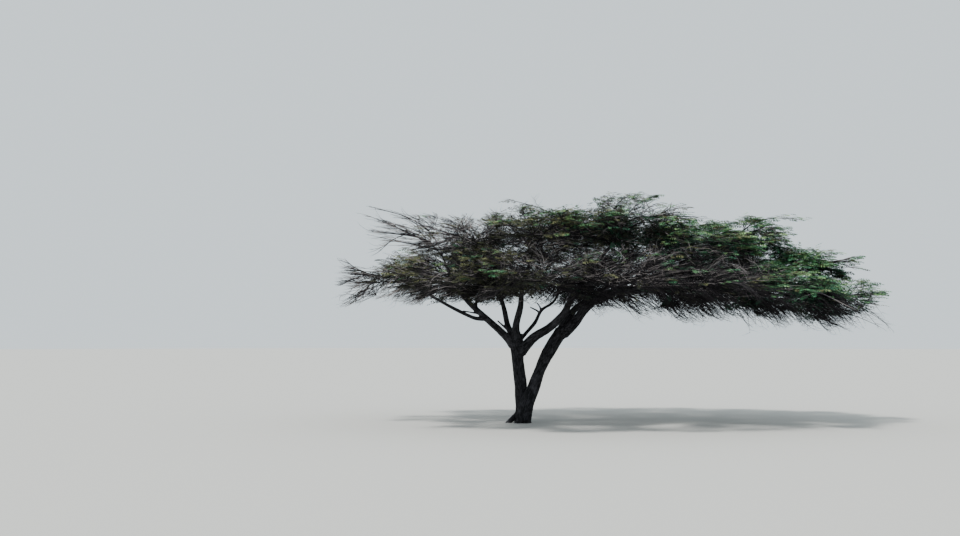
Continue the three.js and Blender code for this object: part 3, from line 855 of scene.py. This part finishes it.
class Grain:
    """Finds, for a place on the wood, where it is along and across the limb that it belongs to"""

    def __init__(self, all_stations):
        self.place = np.vstack([s.place for s in all_stations])
        self.heading = np.vstack([s.heading for s in all_stations])
        self.side = np.vstack([s.side for s in all_stations])
        self.up = np.vstack([s.up for s in all_stations])
        self.along = np.concatenate([s.along + GRAIN_SHIFT * i for i, s in enumerate(all_stations)])
        self.radius = np.concatenate([s.radius for s in all_stations])
        self.tree = KDTree(len(self.place))
        for i, place in enumerate(self.place):
            self.tree.insert(place, i)
        self.tree.balance()

    def nearest(self, places):
        """The station that each place belongs to: the nearest against its own radius"""
        found = np.empty(len(places), dtype=int)
        for i, place in enumerate(places):
            near = self.tree.find_n(place, GRAIN_NEIGHBOURS)
            found[i] = min(near, key=lambda hit: hit[2] / self.radius[hit[1]])[1]
        return found

    def read(self, places):
        """Coordinates across, across and along, and the radius of the limb"""
        at = self.nearest(places)
        offset = places - self.place[at]
        across = (offset * self.side[at]).sum(1)
        above = (offset * self.up[at]).sum(1)
        along = self.along[at] + (offset * self.heading[at]).sum(1)
        return np.column_stack([across, above, along]), self.radius[at]


def relief(grain, radius):
    """How far the bark stands proud at each place: flutes along the limb, ridges on them, and knots"""
    depth = np.empty(len(grain))
    for i, (x, y, z) in enumerate(grain):
        flute = noise.noise(Vector((x, y, z * GRAIN_STRETCH)) / FLUTE_SIZE)
        ridge = 1 - 2 * abs(noise.noise(Vector((x, y, z * GRAIN_STRETCH)) / RIDGE_SIZE))
        knot = noise.noise(Vector((x, y, z)) / KNOT_SIZE)
        depth[i] = FLUTE_DEPTH * flute + RIDGE_DEPTH * ridge + KNOT_DEPTH * knot
    return depth * np.minimum(radius, FULL_RELIEF_GIRTH)


def cut_at_ground(mesh):
    shape = bmesh.new()
    shape.from_mesh(mesh)
    whole = shape.verts[:] + shape.edges[:] + shape.faces[:]
    cut = bmesh.ops.bisect_plane(shape, geom=whole, plane_co=(0, 0, 0), plane_no=(0, 0, 1), clear_inner=True)
    rim = [edge for edge in cut["geom_cut"] if isinstance(edge, bmesh.types.BMEdge)]
    bmesh.ops.edgeloop_fill(shape, edges=rim)
    shape.to_mesh(mesh)
    shape.free()


def fuse(wood):
    fused = wood.modifiers.new("fuse", "REMESH")
    fused.mode = "VOXEL"
    fused.voxel_size = VOXEL
    smooth = wood.modifiers.new("smooth", "SMOOTH")
    smooth.factor = SMOOTHING
    smooth.iterations = SMOOTHED_TIMES
    apply_modifiers(wood)


def make_wood():
    """The foot, stems, boughs and stubs as one mesh, with the relief of old bark"""
    tubes, all_stations = wood_tubes()
    wood = new_object("wood", joined_mesh("wood", tubes))
    fuse(wood)
    grain = Grain(all_stations)
    places = read_vectors(wood.data.vertices, "co")
    places += read_vectors(wood.data.vertex_normals, "vector") * column(relief(*grain.read(places)))
    wood.data.vertices.foreach_set("co", places.ravel())
    thin = wood.modifiers.new("thin", "DECIMATE")
    thin.ratio = min(1.0, WOOD_TRIANGLES / (2 * len(wood.data.polygons)))
    apply_modifiers(wood)
    cut_at_ground(wood.data)
    across_along, _ = grain.read(read_vectors(wood.data.vertices, "co"))
    attribute = wood.data.attributes.new("grain", "FLOAT_VECTOR", "POINT")
    attribute.data.foreach_set("vector", across_along.ravel())
    wood.data.shade_smooth()
    wood.data.materials.append(bark_material())
    nodes = ["trunk_foot", *STEMS, *("bough_" + row[0] for row in CROWN)]
    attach(wood, "root")
    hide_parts(*nodes)


# Masses of the crown, as columns, and coarse stations of the limbs, which twigs keep clear of
NAMES = [row[0] for row in CROWN]
HEARTS = np.array([row[1] for row in CROWN])
REACHES = np.array([row[2] for row in CROWN])
LEAFY_ABOVE = np.array([row[3] for row in CROWN])
LEAFY_BELOW = np.array([row[4] for row in CROWN])
ALL_MASSES = np.arange(len(CROWN))
MASS_KEYS = mix(ALL_MASSES + 1, MASS_SALT)
LIMB_STATIONS = [Stations(limb.line, limb.radius_at, COARSE_STEP) for limb in limbs.values()]
LIMB_PLACES = np.vstack([s.place for s in LIMB_STATIONS])
LIMB_RADII = np.concatenate([s.radius for s in LIMB_STATIONS])
LIMB_OWNER = np.concatenate([np.full(len(s.place), i - len(STEMS)) for i, s in enumerate(LIMB_STATIONS)])


def outside(places):
    """How far outside the reach of every mass each place is, in square metres: one column for each mass"""
    offset = places[:, None] - HEARTS
    offset[..., 2] /= FLATNESS
    return (offset**2).sum(-1) - REACHES**2


def own_and_next(places, mass):
    """How far outside the reach of its own mass each place is, and of the next nearest one"""
    every = outside(places)
    rows = np.arange(len(places))
    own = every[rows, mass]
    every[rows, mass] = np.inf
    return own, every.min(1)


def in_space(places, mass):
    """Whether each place is in the space of its mass"""
    own, following = own_and_next(places, mass)
    return (own <= 0) & (following > own + NEARER)


def in_crown(places, mass, beyond=SHOOT_BEYOND):
    """Whether each place is in the reach of its mass, or in a gap between it and the next one"""
    own, following = own_and_next(places, mass)
    reach = REACHES[mass] ** 2
    return (own <= beyond * reach) | ((own <= GAP_REACH * reach) & (following <= GAP_REACH * reach))


def at_edge(places, lift):
    """Whether the crown ends within this height over each place, or under it where the height is negative"""
    return (outside(places + lift * UP) > 0).all(1)


def at_top(places):
    return at_edge(places, TOPSIDE)


def in_box(places, margin):
    """Whether each place is in the box of the solids, grown by this margin"""
    low, high = (np.array(corner) for corner in cad_box)
    return ((places > low - margin) & (places < high + margin)).all(1)


def clear_of_limbs(places, own_limb=None):
    """Whether each place is clear of the limbs, apart from its own bough"""
    clear = np.ones(len(places), dtype=bool)
    for first in range(0, len(places), CHECKED_AT_ONCE):
        part = slice(first, first + CHECKED_AT_ONCE)
        gaps = np.linalg.norm(places[part, None] - LIMB_PLACES[None], axis=2) - LIMB_RADII
        if own_limb is not None:
            gaps[own_limb[part, None] == LIMB_OWNER[None]] = np.inf
        clear[part] = gaps.min(1) > LIMB_CLEARANCE
    return clear


def leeward(places):
    """0 on the windward side, 1 well to leeward, where the wind has laid the twigs level"""
    return np.clip((places[:, 0] - LAID_FROM) / LAID_OVER, 0, 1)


def windward(places):
    """0 in the crown, 1 at its windward edge"""
    return np.clip((EDGE_FROM - places[:, 0]) / EDGE_OVER, 0, 1)


class Twigs:
    """Many twigs at once: each belongs to a mass, leaves start, turns at turn and ends at end"""

    def __init__(self, mass, key, start, turn, end):
        self.mass = mass
        self.key = key
        self.start = start
        self.turn = turn
        self.end = end

    def __len__(self):
        return len(self.mass)

    def only(self, which):
        return Twigs(self.mass[which], self.key[which], self.start[which], self.turn[which], self.end[which])

    def place(self, share):
        return arc(self.start, self.turn, self.end, np.broadcast_to(column(share), (len(self), 1)))

    def heading(self, share):
        t = np.broadcast_to(column(share), (len(self), 1))
        return unit((1 - t) * (self.turn - self.start) + t * (self.end - self.turn))

    def length(self):
        spots = np.stack([self.place(t) for t in np.linspace(0, 1, MEASURED_SPOTS)])
        return np.linalg.norm(np.diff(spots, axis=0), axis=2).sum(0)

    def cut(self, share):
        """The same twigs, each up to that share of it"""
        t = np.broadcast_to(column(share), (len(self), 1))
        turn = self.start + (self.turn - self.start) * t
        return Twigs(self.mass, self.key, self.start, turn, self.place(share))


def together(lots):
    fields = ("mass", "key", "start", "turn", "end")
    return Twigs(*(np.concatenate([getattr(lot, field) for lot in lots]) for field in fields))


def bent(mass, key, start, heading, end):
    """Twigs that leave start along heading and then turn to end"""
    turn = start + heading * column(TURNS_AT * np.linalg.norm(end - start, axis=1))
    return Twigs(mass, key, start, turn, end)


def fits(twigs, keeps, own_limb=None):
    """Whether each twig keeps to its space and clears the limbs"""
    fine = np.ones(len(twigs), dtype=bool)
    for share in CHECKED_SHARES:
        places = twigs.place(share)
        fine &= keeps(places, twigs.mass)
        fine[fine] = clear_of_limbs(places[fine], None if own_limb is None else own_limb[fine])
    return fine


def settled(twigs, keeps, own_limb=None):
    """Each twig is shortened until it fits, and one with no room is left out"""
    share = np.zeros(len(twigs))
    for tried in SHORTENED_TO:
        waiting = np.flatnonzero(share == 0)
        limb = None if own_limb is None else own_limb[waiting]
        share[waiting[fits(twigs.only(waiting).cut(tried), keeps, limb)]] = tried
    kept = share > 0
    return twigs.only(kept).cut(share[kept])


def grow_spines():
    """The spine of every mass, and the way outward from the trunk through each"""
    tips = np.array([place_on(limbs[name].line, 1) for name in NAMES])
    heading = np.array([heading_on(limbs[name].line, 1) for name in NAMES])
    start = tips + heading * GAP
    outward = HEARTS - start
    outward[:, 2] = 0
    outward = unit(outward)
    end = HEARTS + outward * column(REACHES * TWIG_REACH)
    end[:, 2] += SPINE_RISE * FLATNESS * REACHES
    spines = bent(ALL_MASSES, mix(MASS_KEYS, SPINE_SALT), start, heading, end)
    return settled(spines, in_space, ALL_MASSES), outward


SPINES, OUTWARD = grow_spines()

# The line of the wind through each mass: away from the trunk, to windward or to leeward
STREAM = unit(OUTWARD + column(np.where(HEARTS[:, 0] < PARTING, -1.0, 1.0)) * DOWNWIND)


def grow_twigs(i):
    """Twig i of every mass, from the spine to its aim. The later ones fill the lower half more."""
    highest, fall = AIMS_OF_FIRST if i < SOLID_TWIGS else AIMS_OF_OTHERS
    rise = highest - fall * fraction(FIRST_AIM + i * AIM_STEP[1])
    mass = SPINES.mass
    bearing = 2 * math.pi * fraction(chance(MASS_KEYS[mass], 3) + i * AIM_STEP[0])
    level = math.sqrt(1 - rise * rise)
    up = np.full(len(mass), rise * FLATNESS)
    aim = np.column_stack([level * np.cos(bearing), level * np.sin(bearing), up])
    aim *= column(REACHES[mass] * TWIG_REACH)
    pulled = np.zeros(len(mass))
    for share in AIM_SHARES:
        waiting = pulled == 0
        pulled[waiting & in_space(HEARTS[mass] + aim * share, mass)] = share
    spines = SPINES.only(pulled > 0)
    end = (HEARTS[mass] + aim * column(pulled))[pulled > 0]
    mass = spines.mass
    forward = ((end - HEARTS[mass]) * OUTWARD[mass]).sum(1) / REACHES[mass]
    share = np.clip(SPINE_SLOPE * (forward + 1) - SPINE_SHIFT, *SPINE_SHARES)
    start = spines.place(share)
    heading = unit(spines.heading(share) + unit(end - start))
    return settled(bent(mass, mix(MASS_KEYS[mass], TWIG_SALT + i), start, heading, end), in_space)


def grow_bare_twigs():
    """The long bare twigs that show at the crown's edges, each from the spine of its mass"""
    lots = []
    for i, (name, share, turn, end) in enumerate(BARE_TWIGS):
        spine = SPINES.only(SPINES.mass == NAMES.index(name))
        key = mix(spine.key, BARE_TWIG_SALT + i)
        lots.append(Twigs(spine.mass, key, spine.place(share), np.array([turn]), np.array([end])))
    return together(lots)


def grow_shoots(twigs, j, longer, habit, longest=math.inf):
    """Shoot j of every twig: it leaves at an angle, left and right in turn, and leans the way it faces.
    Finer orders bend more into the line of the wind."""
    swing, stream, spread = habit
    mass = twigs.mass
    share = ALONG_TWIG[0] + ALONG_TWIG[1] * fraction(chance(twigs.key, 2) + j * GOLDEN)
    start = twigs.place(share)
    tangent = twigs.heading(share)
    own = mix(twigs.key, SHOOT_SALT + j)
    angle = spread * drawn(own, 1, *SPREAD) * (1 - EDGE_NARROWER * windward(start))
    turned = -1 if j % 2 else 1
    heading = tangent * column(np.cos(angle)) + sideways(tangent) * column(turned * np.sin(angle))
    level = 1 - LEVELLED * leeward(start)
    heading[:, 2] *= level
    heading[:, 2] += swing * FLATNESS * (chance(own, 2) - SWING_MIDDLE) * level
    heading = unit(heading)
    far = (SHOOT_LENGTH[0] - SHOOT_LENGTH[1] * share) * drawn(own, 3, *LENGTH_VARIES)
    far = far * np.minimum(twigs.length(), longest) * longer
    turn = start + heading * column(.5 * far)
    facing = OUTWARD[mass].copy()
    facing[:, 2] = LEAN_OUT * (start[:, 2] - HEARTS[mass, 2]) / (FLATNESS * REACHES[mass])
    facing = .5 * facing + column(stream + EDGE_STREAM * windward(start)) * STREAM[mass]
    end = turn + unit(heading + facing) * column(.5 * far)
    return Twigs(mass, own, start, turn, end)


def grow_fillers(shoots, i):
    """Sprays that turn into the densest places from the shoots round them"""
    lots = []
    for n, ((x, z), (half_length, half_height)) in enumerate(DENSE_PLACES):
        own = mix(shoots.key, FILLER_SALT + FILLER_SALTS_APART * n + i)
        start = shoots.place(drawn(own, 1, *FILLERS_LEAVE))
        end = start + column(FILLERS_ACROSS * (chance(own, 2) - .5)) * ACROSS
        end[:, 0] = x + half_length * (2 * chance(own, 3) - 1)
        end[:, 2] = z + half_height * (2 * chance(own, 4) - 1)
        heading = unit(shoots.heading(FILLERS_FOLLOW) + FILLERS_HEAD_FOR * unit(end - start))
        near = np.linalg.norm(end - start, axis=1) < LONGEST_FILLER
        lots.append(bent(shoots.mass, own, start, heading, end).only(near))
    return together(lots)


def left_open(twigs):
    """Whether each twig stays, where the crown is open"""
    staying = np.ones(len(twigs))
    for middle, half_size, share in OPEN_PLACES:
        staying *= 1 - (1 - share) * within(twigs.end, middle, half_size)
    return chance(twigs.key, 33) < staying


def grow_sprays(shoots):
    sprays = [grow_shoots(shoots, j, SPRAY_SIZE, SPRAY_HABIT) for j in range(SPRAYS)]
    sprays = together(sprays + [grow_fillers(shoots, i) for i in range(FILLERS)])
    kept = in_crown(sprays.end, sprays.mass, drawn(sprays.key, 31, *SPRAY_BEYOND))
    kept &= in_box(sprays.end, SPRAY_MARGIN) & left_open(sprays)
    sprays = sprays.only(kept)
    return sprays.only(clear_of_limbs(sprays.place(SPRAY_CHECKED_AT)) & clear_of_limbs(sprays.end))


def fall_and_run(own, clump, x, height):
    """How far each dead twig hangs down and how far it trails. To windward they hang less steeply."""
    steepness = np.interp(x, *HANG_STEEPNESS) * (STEEP_ABOVE + STEEP_BELOW * np.exp(-height / STEEP_WITHIN))
    least, of_twig, of_clump = STEEP_VARIES
    steepness *= least + of_twig * chance(own, 7) ** 2 + of_clump * clump**2
    least, of_twig, of_clump = FALL_VARIES
    fall = (height + FALLS_PAST) * (drawn(own, 3, least, of_twig) + of_clump * clump)
    least, of_clump = LONGEST_VARIES
    fall = np.minimum(fall, LONGEST_FALL * (least + of_clump * clump))
    return fall, np.minimum(fall / steepness, LONGEST_TRAIL) * drawn(own, 11, *TRAIL_VARIES)


def grow_hangers(shoots, i):
    """Dead twigs that trail downwind from the underside of the crown, in clumps, to one even line"""
    start = shoots.place(HANG_ALONG[0] + HANG_ALONG[1] * fraction(chance(shoots.key, 4) + i * GOLDEN))
    height = start[:, 2] - np.interp(start[:, 0], *UNDERSIDE_LINE)
    dead = chance(shoots.key, 37) < np.interp(start[:, 0], *DEAD_SHOOTS)
    low = at_edge(start, -UNDERSIDE) & (height > 0) & (height < HANG_ZONE) & dead
    start = start[low]
    shoots = shoots.only(low)
    own = mix(shoots.key, HANGER_SALT + i)
    fall, run = fall_and_run(own, chance(shoots.key, 38), start[:, 0], height[low])
    trail = STREAM[shoots.mass].copy()
    trail[:, 1] += TRAIL_ACROSS * (chance(own, 2) - .5)
    trail = trail * column(run)
    sway = np.column_stack([chance(own, 8), chance(own, 9), chance(own, 10)]) - .5
    turn = start + TRAIL_TURNS_AT * trail - column(drawn(own, 6, *SAG) * fall) * UP + HANG_SWAY * sway
    hangers = Twigs(shoots.mass, own, start, turn, start + trail - column(fall) * UP)
    kept = clear_of_limbs(hangers.end) & in_box(hangers.end, SPRAY_MARGIN) & left_open(hangers)
    return hangers.only(kept)


def grow_whips(twigs, i):
    """Long bare twigs at the windward edge"""
    edge = twigs.only((twigs.end[:, 0] < WHIPS_BEYOND) & (chance(twigs.key, WHIP_DRAW + i) < WHIPS_KEPT))
    own = mix(edge.key, WHIP_SALT + i)
    share = drawn(own, 1, *WHIP_ALONG)
    far = drawn(own, 2, *WHIP_LENGTH)
    heading = edge.heading(share) + STREAM[edge.mass] + column(WHIP_ACROSS * (chance(own, 3) - .5)) * ACROSS
    start = edge.place(share)
    turn = start + unit(heading) * column(WHIP_RUNS_FOR * far)
    back = np.full(len(edge), WHIP_CURLS_BACK)
    rising = np.column_stack([back, chance(own, 4) - .5, drawn(own, 5, *WHIP_RISES)])
    end = turn + unit(rising) * column(WHIP_CURLS_FOR * far)
    whips = Twigs(edge.mass, own, start, turn, end)
    return whips.only(in_box(whips.end, TWIGLET_MARGIN) & in_box(whips.turn, TWIGLET_MARGIN))


# Where there are leaves, and which tints leaves and twigs get
def height_in_mass(twigs):
    """-1 at the underside of a mass, 1 at its top"""
    lift = twigs.start[:, 2] - HEARTS[twigs.mass, 2]
    return np.clip(lift / (FLATNESS * REACHES[twigs.mass]), -1, 1)


def is_leafy(sprays):
    mass = sprays.mass
    upper = (height_in_mass(sprays) + 1) / 2
    share = LEAFY_BELOW[mass]
    share = share + (LEAFY_ABOVE - LEAFY_BELOW)[mass] * np.clip(LEAFIER_SLOPE * upper - LEAFIER_FROM, 0, 1)
    sheltered = np.clip((sprays.end[:, 0] - BURNT_TO_WINDWARD) / BURNT_OVER, LEAST_SHELTERED, 1)
    return chance(sprays.key, 11) < share * sheltered * (1 - (1 - MAT_LEAFY) * within(sprays.end, *DEAD_MAT))


def lit(places):
    """The share of the light that reaches each place: less near the underside, to leeward"""
    lift = (places[:, 2] - np.interp(places[:, 0], *UNDERSIDE_LINE) - SHADE_HEIGHT) / SHADE_FADES_OVER
    return 1 - SHADE_TAKES * ((1 - np.clip(lift, 0, 1)) * np.interp(places[:, 0], *SHADE_ALONG))


def leaf_tint(sprays, leaves):
    """Painted highlight at the top of the crown and higher in each mass, painted shade below the top and
    under the lee side, lighter or darker by chance, and drier to windward
    """
    top = at_top(sprays.end)
    light = LEAF_LIGHT + TOP_PAINTED_HIGHLIGHT * top + HIGHER_PAINTED_HIGHLIGHT * height_in_mass(sprays)
    light += SPRAY_LIGHTER * chance(sprays.key, 41) + LEAF_LIGHTER * chance(leaves, 41)
    light *= np.where(top, 1, PAINTED_SHADE_BELOW)
    light = np.clip(light * lit(sprays.end), 0, LIGHTEST)
    green = (light * len(LEAF_TINTS)).astype(int)
    dry = len(LEAF_TINTS) + (light * len(DRY_LEAF_TINTS)).astype(int)
    drier = np.interp(sprays.end[:, 0], *DRYNESS) + DRIER_BELOW * ~top
    return np.where(chance(sprays.key, 43) < drier, dry, green)


def twig_tint(twigs):
    # Painted shade under the lee side, painted light along the crown, most of it to windward, paler in the
    # dead mat, and chance for the rest
    light = chance(twigs.key, 42) * lit(twigs.end) + np.interp(twigs.end[:, 0], *PAINTED_LIGHT_ALONG)
    light += MAT_PALER * within(twigs.end, *DEAD_MAT)
    return np.searchsorted(TWIG_SHARES, light)


def grow_crown():
    """Every order of twig in the crown, under its name"""
    twigs = together([grow_twigs(i) for i in range(TWIGS)])
    bare_twigs = grow_bare_twigs()
    carriers = together([SPINES, twigs, bare_twigs])
    longer = SHOOT_SIZE + BARE_IS_LONGER * (1 - LEAFY_ABOVE[carriers.mass])
    shoots = together([grow_shoots(carriers, j, longer, SHOOT_HABIT) for j in range(SHOOTS)])
    shoots = settled(shoots, in_crown)
    outer = [grow_shoots(bare_twigs, j, OUTER_SPRAY_SIZE, SHOOT_HABIT) for j in range(SPRAYS_OF_BARE)]
    outer = together(outer)
    sprays = together([grow_sprays(shoots), outer.only(in_box(outer.end, SPRAY_MARGIN))])
    leafy = is_leafy(sprays)
    return {
        "spines": SPINES,
        "twigs": twigs,
        "bare twigs": bare_twigs,
        "shoots": shoots,
        "leafy sprays": sprays.only(leafy),
        "bare sprays": sprays.only(~leafy),
        "hangers": together([grow_hangers(shoots, i) for i in range(HANGERS)]),
    }


# Meshes of twigs and leaves are built for all of them at once
class Heap:
    """Triangles that wait to become one piece"""

    def __init__(self):
        self.places = []
        self.triangles = []
        self.tints = []
        self.count = 0

    def add(self, places, faces, tints):
        """One copy of the faces for each row of these places, and a tint for each copy"""
        places = np.stack(places, axis=1)
        firsts = self.count + np.arange(len(places)) * places.shape[1]
        self.places.append(places.reshape(-1, 3))
        self.triangles.append((np.array(faces)[None] + firsts[:, None, None]).reshape(-1, 3))
        self.tints.append(np.repeat(tints, len(faces)))
        self.count += places.shape[0] * places.shape[1]

    def mesh(self, name, materials):
        places = np.concatenate(self.places)
        triangles = np.concatenate(self.triangles)
        mesh = bpy.data.meshes.new(name)
        mesh.vertices.add(len(places))
        mesh.vertices.foreach_set("co", places.ravel())
        mesh.loops.add(triangles.size)
        mesh.loops.foreach_set("vertex_index", triangles.ravel().astype(np.int32))
        mesh.polygons.add(len(triangles))
        mesh.polygons.foreach_set("loop_start", np.arange(len(triangles), dtype=np.int32) * 3)
        mesh.polygons.foreach_set("material_index", np.concatenate(self.tints).astype(np.int32))
        for material in materials:
            mesh.materials.append(material)
        mesh.update(calc_edges=True)
        mesh.validate()
        return mesh


def pile_twigs(heap, order, twigs, tints):
    """Pointed tubes along these twigs"""
    thick, thin, sides, rings = ORDERS[order][:4]
    side = unit(np.cross(twigs.end - twigs.start, ASLANT))
    places = []
    for ring in range(rings):
        share = ring / rings
        heading = twigs.heading(share)
        across = unit(side - heading * column((side * heading).sum(1)))
        up = np.cross(heading, across)
        radius = thick + (thin - thick) * share
        for angle in np.arange(sides) * 2 * math.pi / sides:
            places.append(twigs.place(share) + (across * math.cos(angle) + up * math.sin(angle)) * radius)
    places.append(twigs.end)
    faces = []
    last = (rings - 1) * sides
    for i in range(sides):
        j = (i + 1) % sides
        for low in range(0, last, sides):
            high = low + sides
            faces += [(low + i, low + j, high + j), (low + i, high + j, high + i)]
        faces.append((last + i, last + j, rings * sides))
    heap.add(places, faces, tints)


def pile_tinted(heap, order, twigs):
    darkest, lightest = ORDERS[order][4:]
    pile_twigs(heap, order, twigs, np.clip(twig_tint(twigs), darkest, lightest))


def pile_twiglets(heap, sprays, count, habit):
    """The finest twigs of bare sprays, fewer towards the windward edge and darker in turn"""
    fewer = np.interp(sprays.end[:, 0], *TWIGLETS_LEFT)
    for i in range(count):
        twiglets = grow_shoots(sprays, i, TWIGLET_SIZE, habit, LONGEST_FORKED)
        kept = (chance(sprays.key, TWIGLET_DRAW + i) < fewer) & in_box(twiglets.end, TWIGLET_MARGIN)
        tints = np.maximum(twig_tint(sprays.only(kept)) - i % 3, 0)
        pile_twigs(heap, "twiglets", twiglets.only(kept), tints)


def pile_leaves(heap, root, heading, facing, length, tints):
    """Twice feathered leaves: every pinna is a folded kite on the midrib"""
    side = unit(np.cross(heading, facing))
    up = np.cross(side, heading)
    pinnae = [(share, angle * turned, size) for share, angle, size in PINNA_PAIRS for turned in (1, -1)]
    pinnae.append(END_PINNA)
    places = []
    faces = []
    for share, angle, size in pinnae:
        foot = root + (heading * share - up * LEAF_DROOP * share**2) * column(length)
        hangs = up * (PINNA_HANGS + 2 * LEAF_DROOP * share)
        along = unit(heading * math.cos(angle) + side * math.sin(angle) - hangs)
        across = unit(np.cross(along, up))
        long = column(length * size)
        middle = foot + along * long * PINNA_WIDEST
        half = across * long * PINNA_WIDTH / 2
        lifted = up * long * PINNA_FOLD
        first = len(places)
        places += [foot, middle + half + lifted, foot + along * long, middle - half + lifted]
        faces += [(first, first + 1, first + 2), (first, first + 2, first + 3)]
    heap.add(places, faces, tints)


def random_tilt(keys, salt, amount):
    """Directions near straight up, each tilted its own way"""
    bearing = 2 * math.pi * chance(keys, salt)
    lean = amount * chance(keys, salt + 1)
    return unit(np.column_stack([lean * np.cos(bearing), lean * np.sin(bearing), np.ones(len(keys))]))


def pile_leaves_of(heap, sprays):
    """Leaves along these sprays: the first at the tip, the others left and right in turn"""
    for i in range(LEAVES):
        own = mix(sprays.key, LEAF_SALT + i)
        if i == 0:
            share = np.ones(len(sprays))
            angle = 0
        else:
            share = LEAF_ALONG[0] + LEAF_ALONG[1] * fraction(chance(sprays.key, 5) + i * GOLDEN)
            angle = -LEAF_ANGLE if i % 2 else LEAF_ANGLE
        heading = sprays.heading(share)
        leaving = heading * math.cos(angle) + sideways(heading) * math.sin(angle)
        leaving = leaving + LEAF_STREAM * STREAM[sprays.mass]
        leaving[:, 2] = LEAF_LEVEL * leaving[:, 2] + LEAF_SWING * (chance(own, 3) - .5)
        length = LEAF_LENGTH * drawn(own, 6, *LEAF_VARIES)
        facing = random_tilt(own, 8, LEAF_TILT)
        pile_leaves(heap, sprays.place(share), unit(leaving), facing, length, leaf_tint(sprays, own))


def make_side(side, crown, twig_materials, leaf_materials):
    """The twigs and the leaves of one side of the crown, a piece of each"""
    here = np.array([i for i, name in enumerate(NAMES) if name in SIDES[side]])
    own = {order: lot.only(np.isin(lot.mass, here)) for order, lot in crown.items()}
    twig_heap = Heap()
    for order, lot in own.items():
        pile_tinted(twig_heap, order, lot)
    pile_twiglets(twig_heap, own["bare sprays"], TWIGLETS, TWIGLET_HABIT)
    pile_twiglets(twig_heap, own["hangers"], TWIGLETS_OF_HANGERS, HANGER_TWIGLET_HABIT)
    for i in range(WHIPS):
        pile_tinted(twig_heap, "whips", grow_whips(own["twigs"], i))
    leaf_heap = Heap()
    pile_leaves_of(leaf_heap, own["leafy sprays"])
    nodes = ["crown_" + NAMES[i] for i in here]
    for name, heap, materials, slot in (
        ("twigs_" + side, twig_heap, twig_materials, "bare_crown"),
        ("leaves_" + side, leaf_heap, leaf_materials, "leafy_crown"),
    ):
        piece = new_object(name, heap.mesh(name, materials))
        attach(piece, "root")
        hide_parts(*nodes)


# Setting
def make_camera():
    data = bpy.data.cameras.new("camera")
    data.sensor_width = SENSOR_WIDTH
    data.lens = FOCAL_LENGTH
    data.clip_end = SEES_AS_FAR_AS
    camera = new_object("camera", data)
    camera.location = EYE
    camera.rotation_euler = (math.pi / 2 + LOOKS_UP, 0, 0)
    bpy.context.scene.camera = camera


def make_floor():
    mesh = bpy.data.meshes.new("floor")
    shape = bmesh.new()
    bmesh.ops.create_circle(shape, cap_ends=True, segments=FLOOR_SIDES, radius=FLOOR_RADIUS)
    shape.to_mesh(mesh)
    shape.free()
    mesh.materials.append(plain_material("floor", FLOOR_TINT, *FLOOR_FINISH))
    new_object("floor", mesh)


def make_light():
    world = bpy.data.worlds.new("studio")
    world.use_nodes = True
    soft = world.node_tree.nodes["Background"]
    soft.inputs["Color"].default_value = SOFT_COLOUR
    soft.inputs["Strength"].default_value = SOFT_STRENGTH
    bpy.context.scene.world = world
    sun = bpy.data.lights.new("key", "SUN")
    sun.energy = KEY_STRENGTH
    sun.angle = KEY_SIZE
    sun.color = KEY_COLOUR
    key = new_object("key", sun)
    key.rotation_euler = Vector(KEY_COMES_FROM).to_track_quat("Z", "Y").to_euler()


make_camera()
make_floor()
make_light()
make_wood()
crown = grow_crown()
leaf_materials = tinted_materials("leaf", LEAF_TINTS + DRY_LEAF_TINTS, LEAF_FINISH)
twig_materials = tinted_materials("twig", TWIG_TINTS, TWIG_FINISH)
for side in SIDES:
    make_side(side, crown, twig_materials, leaf_materials)
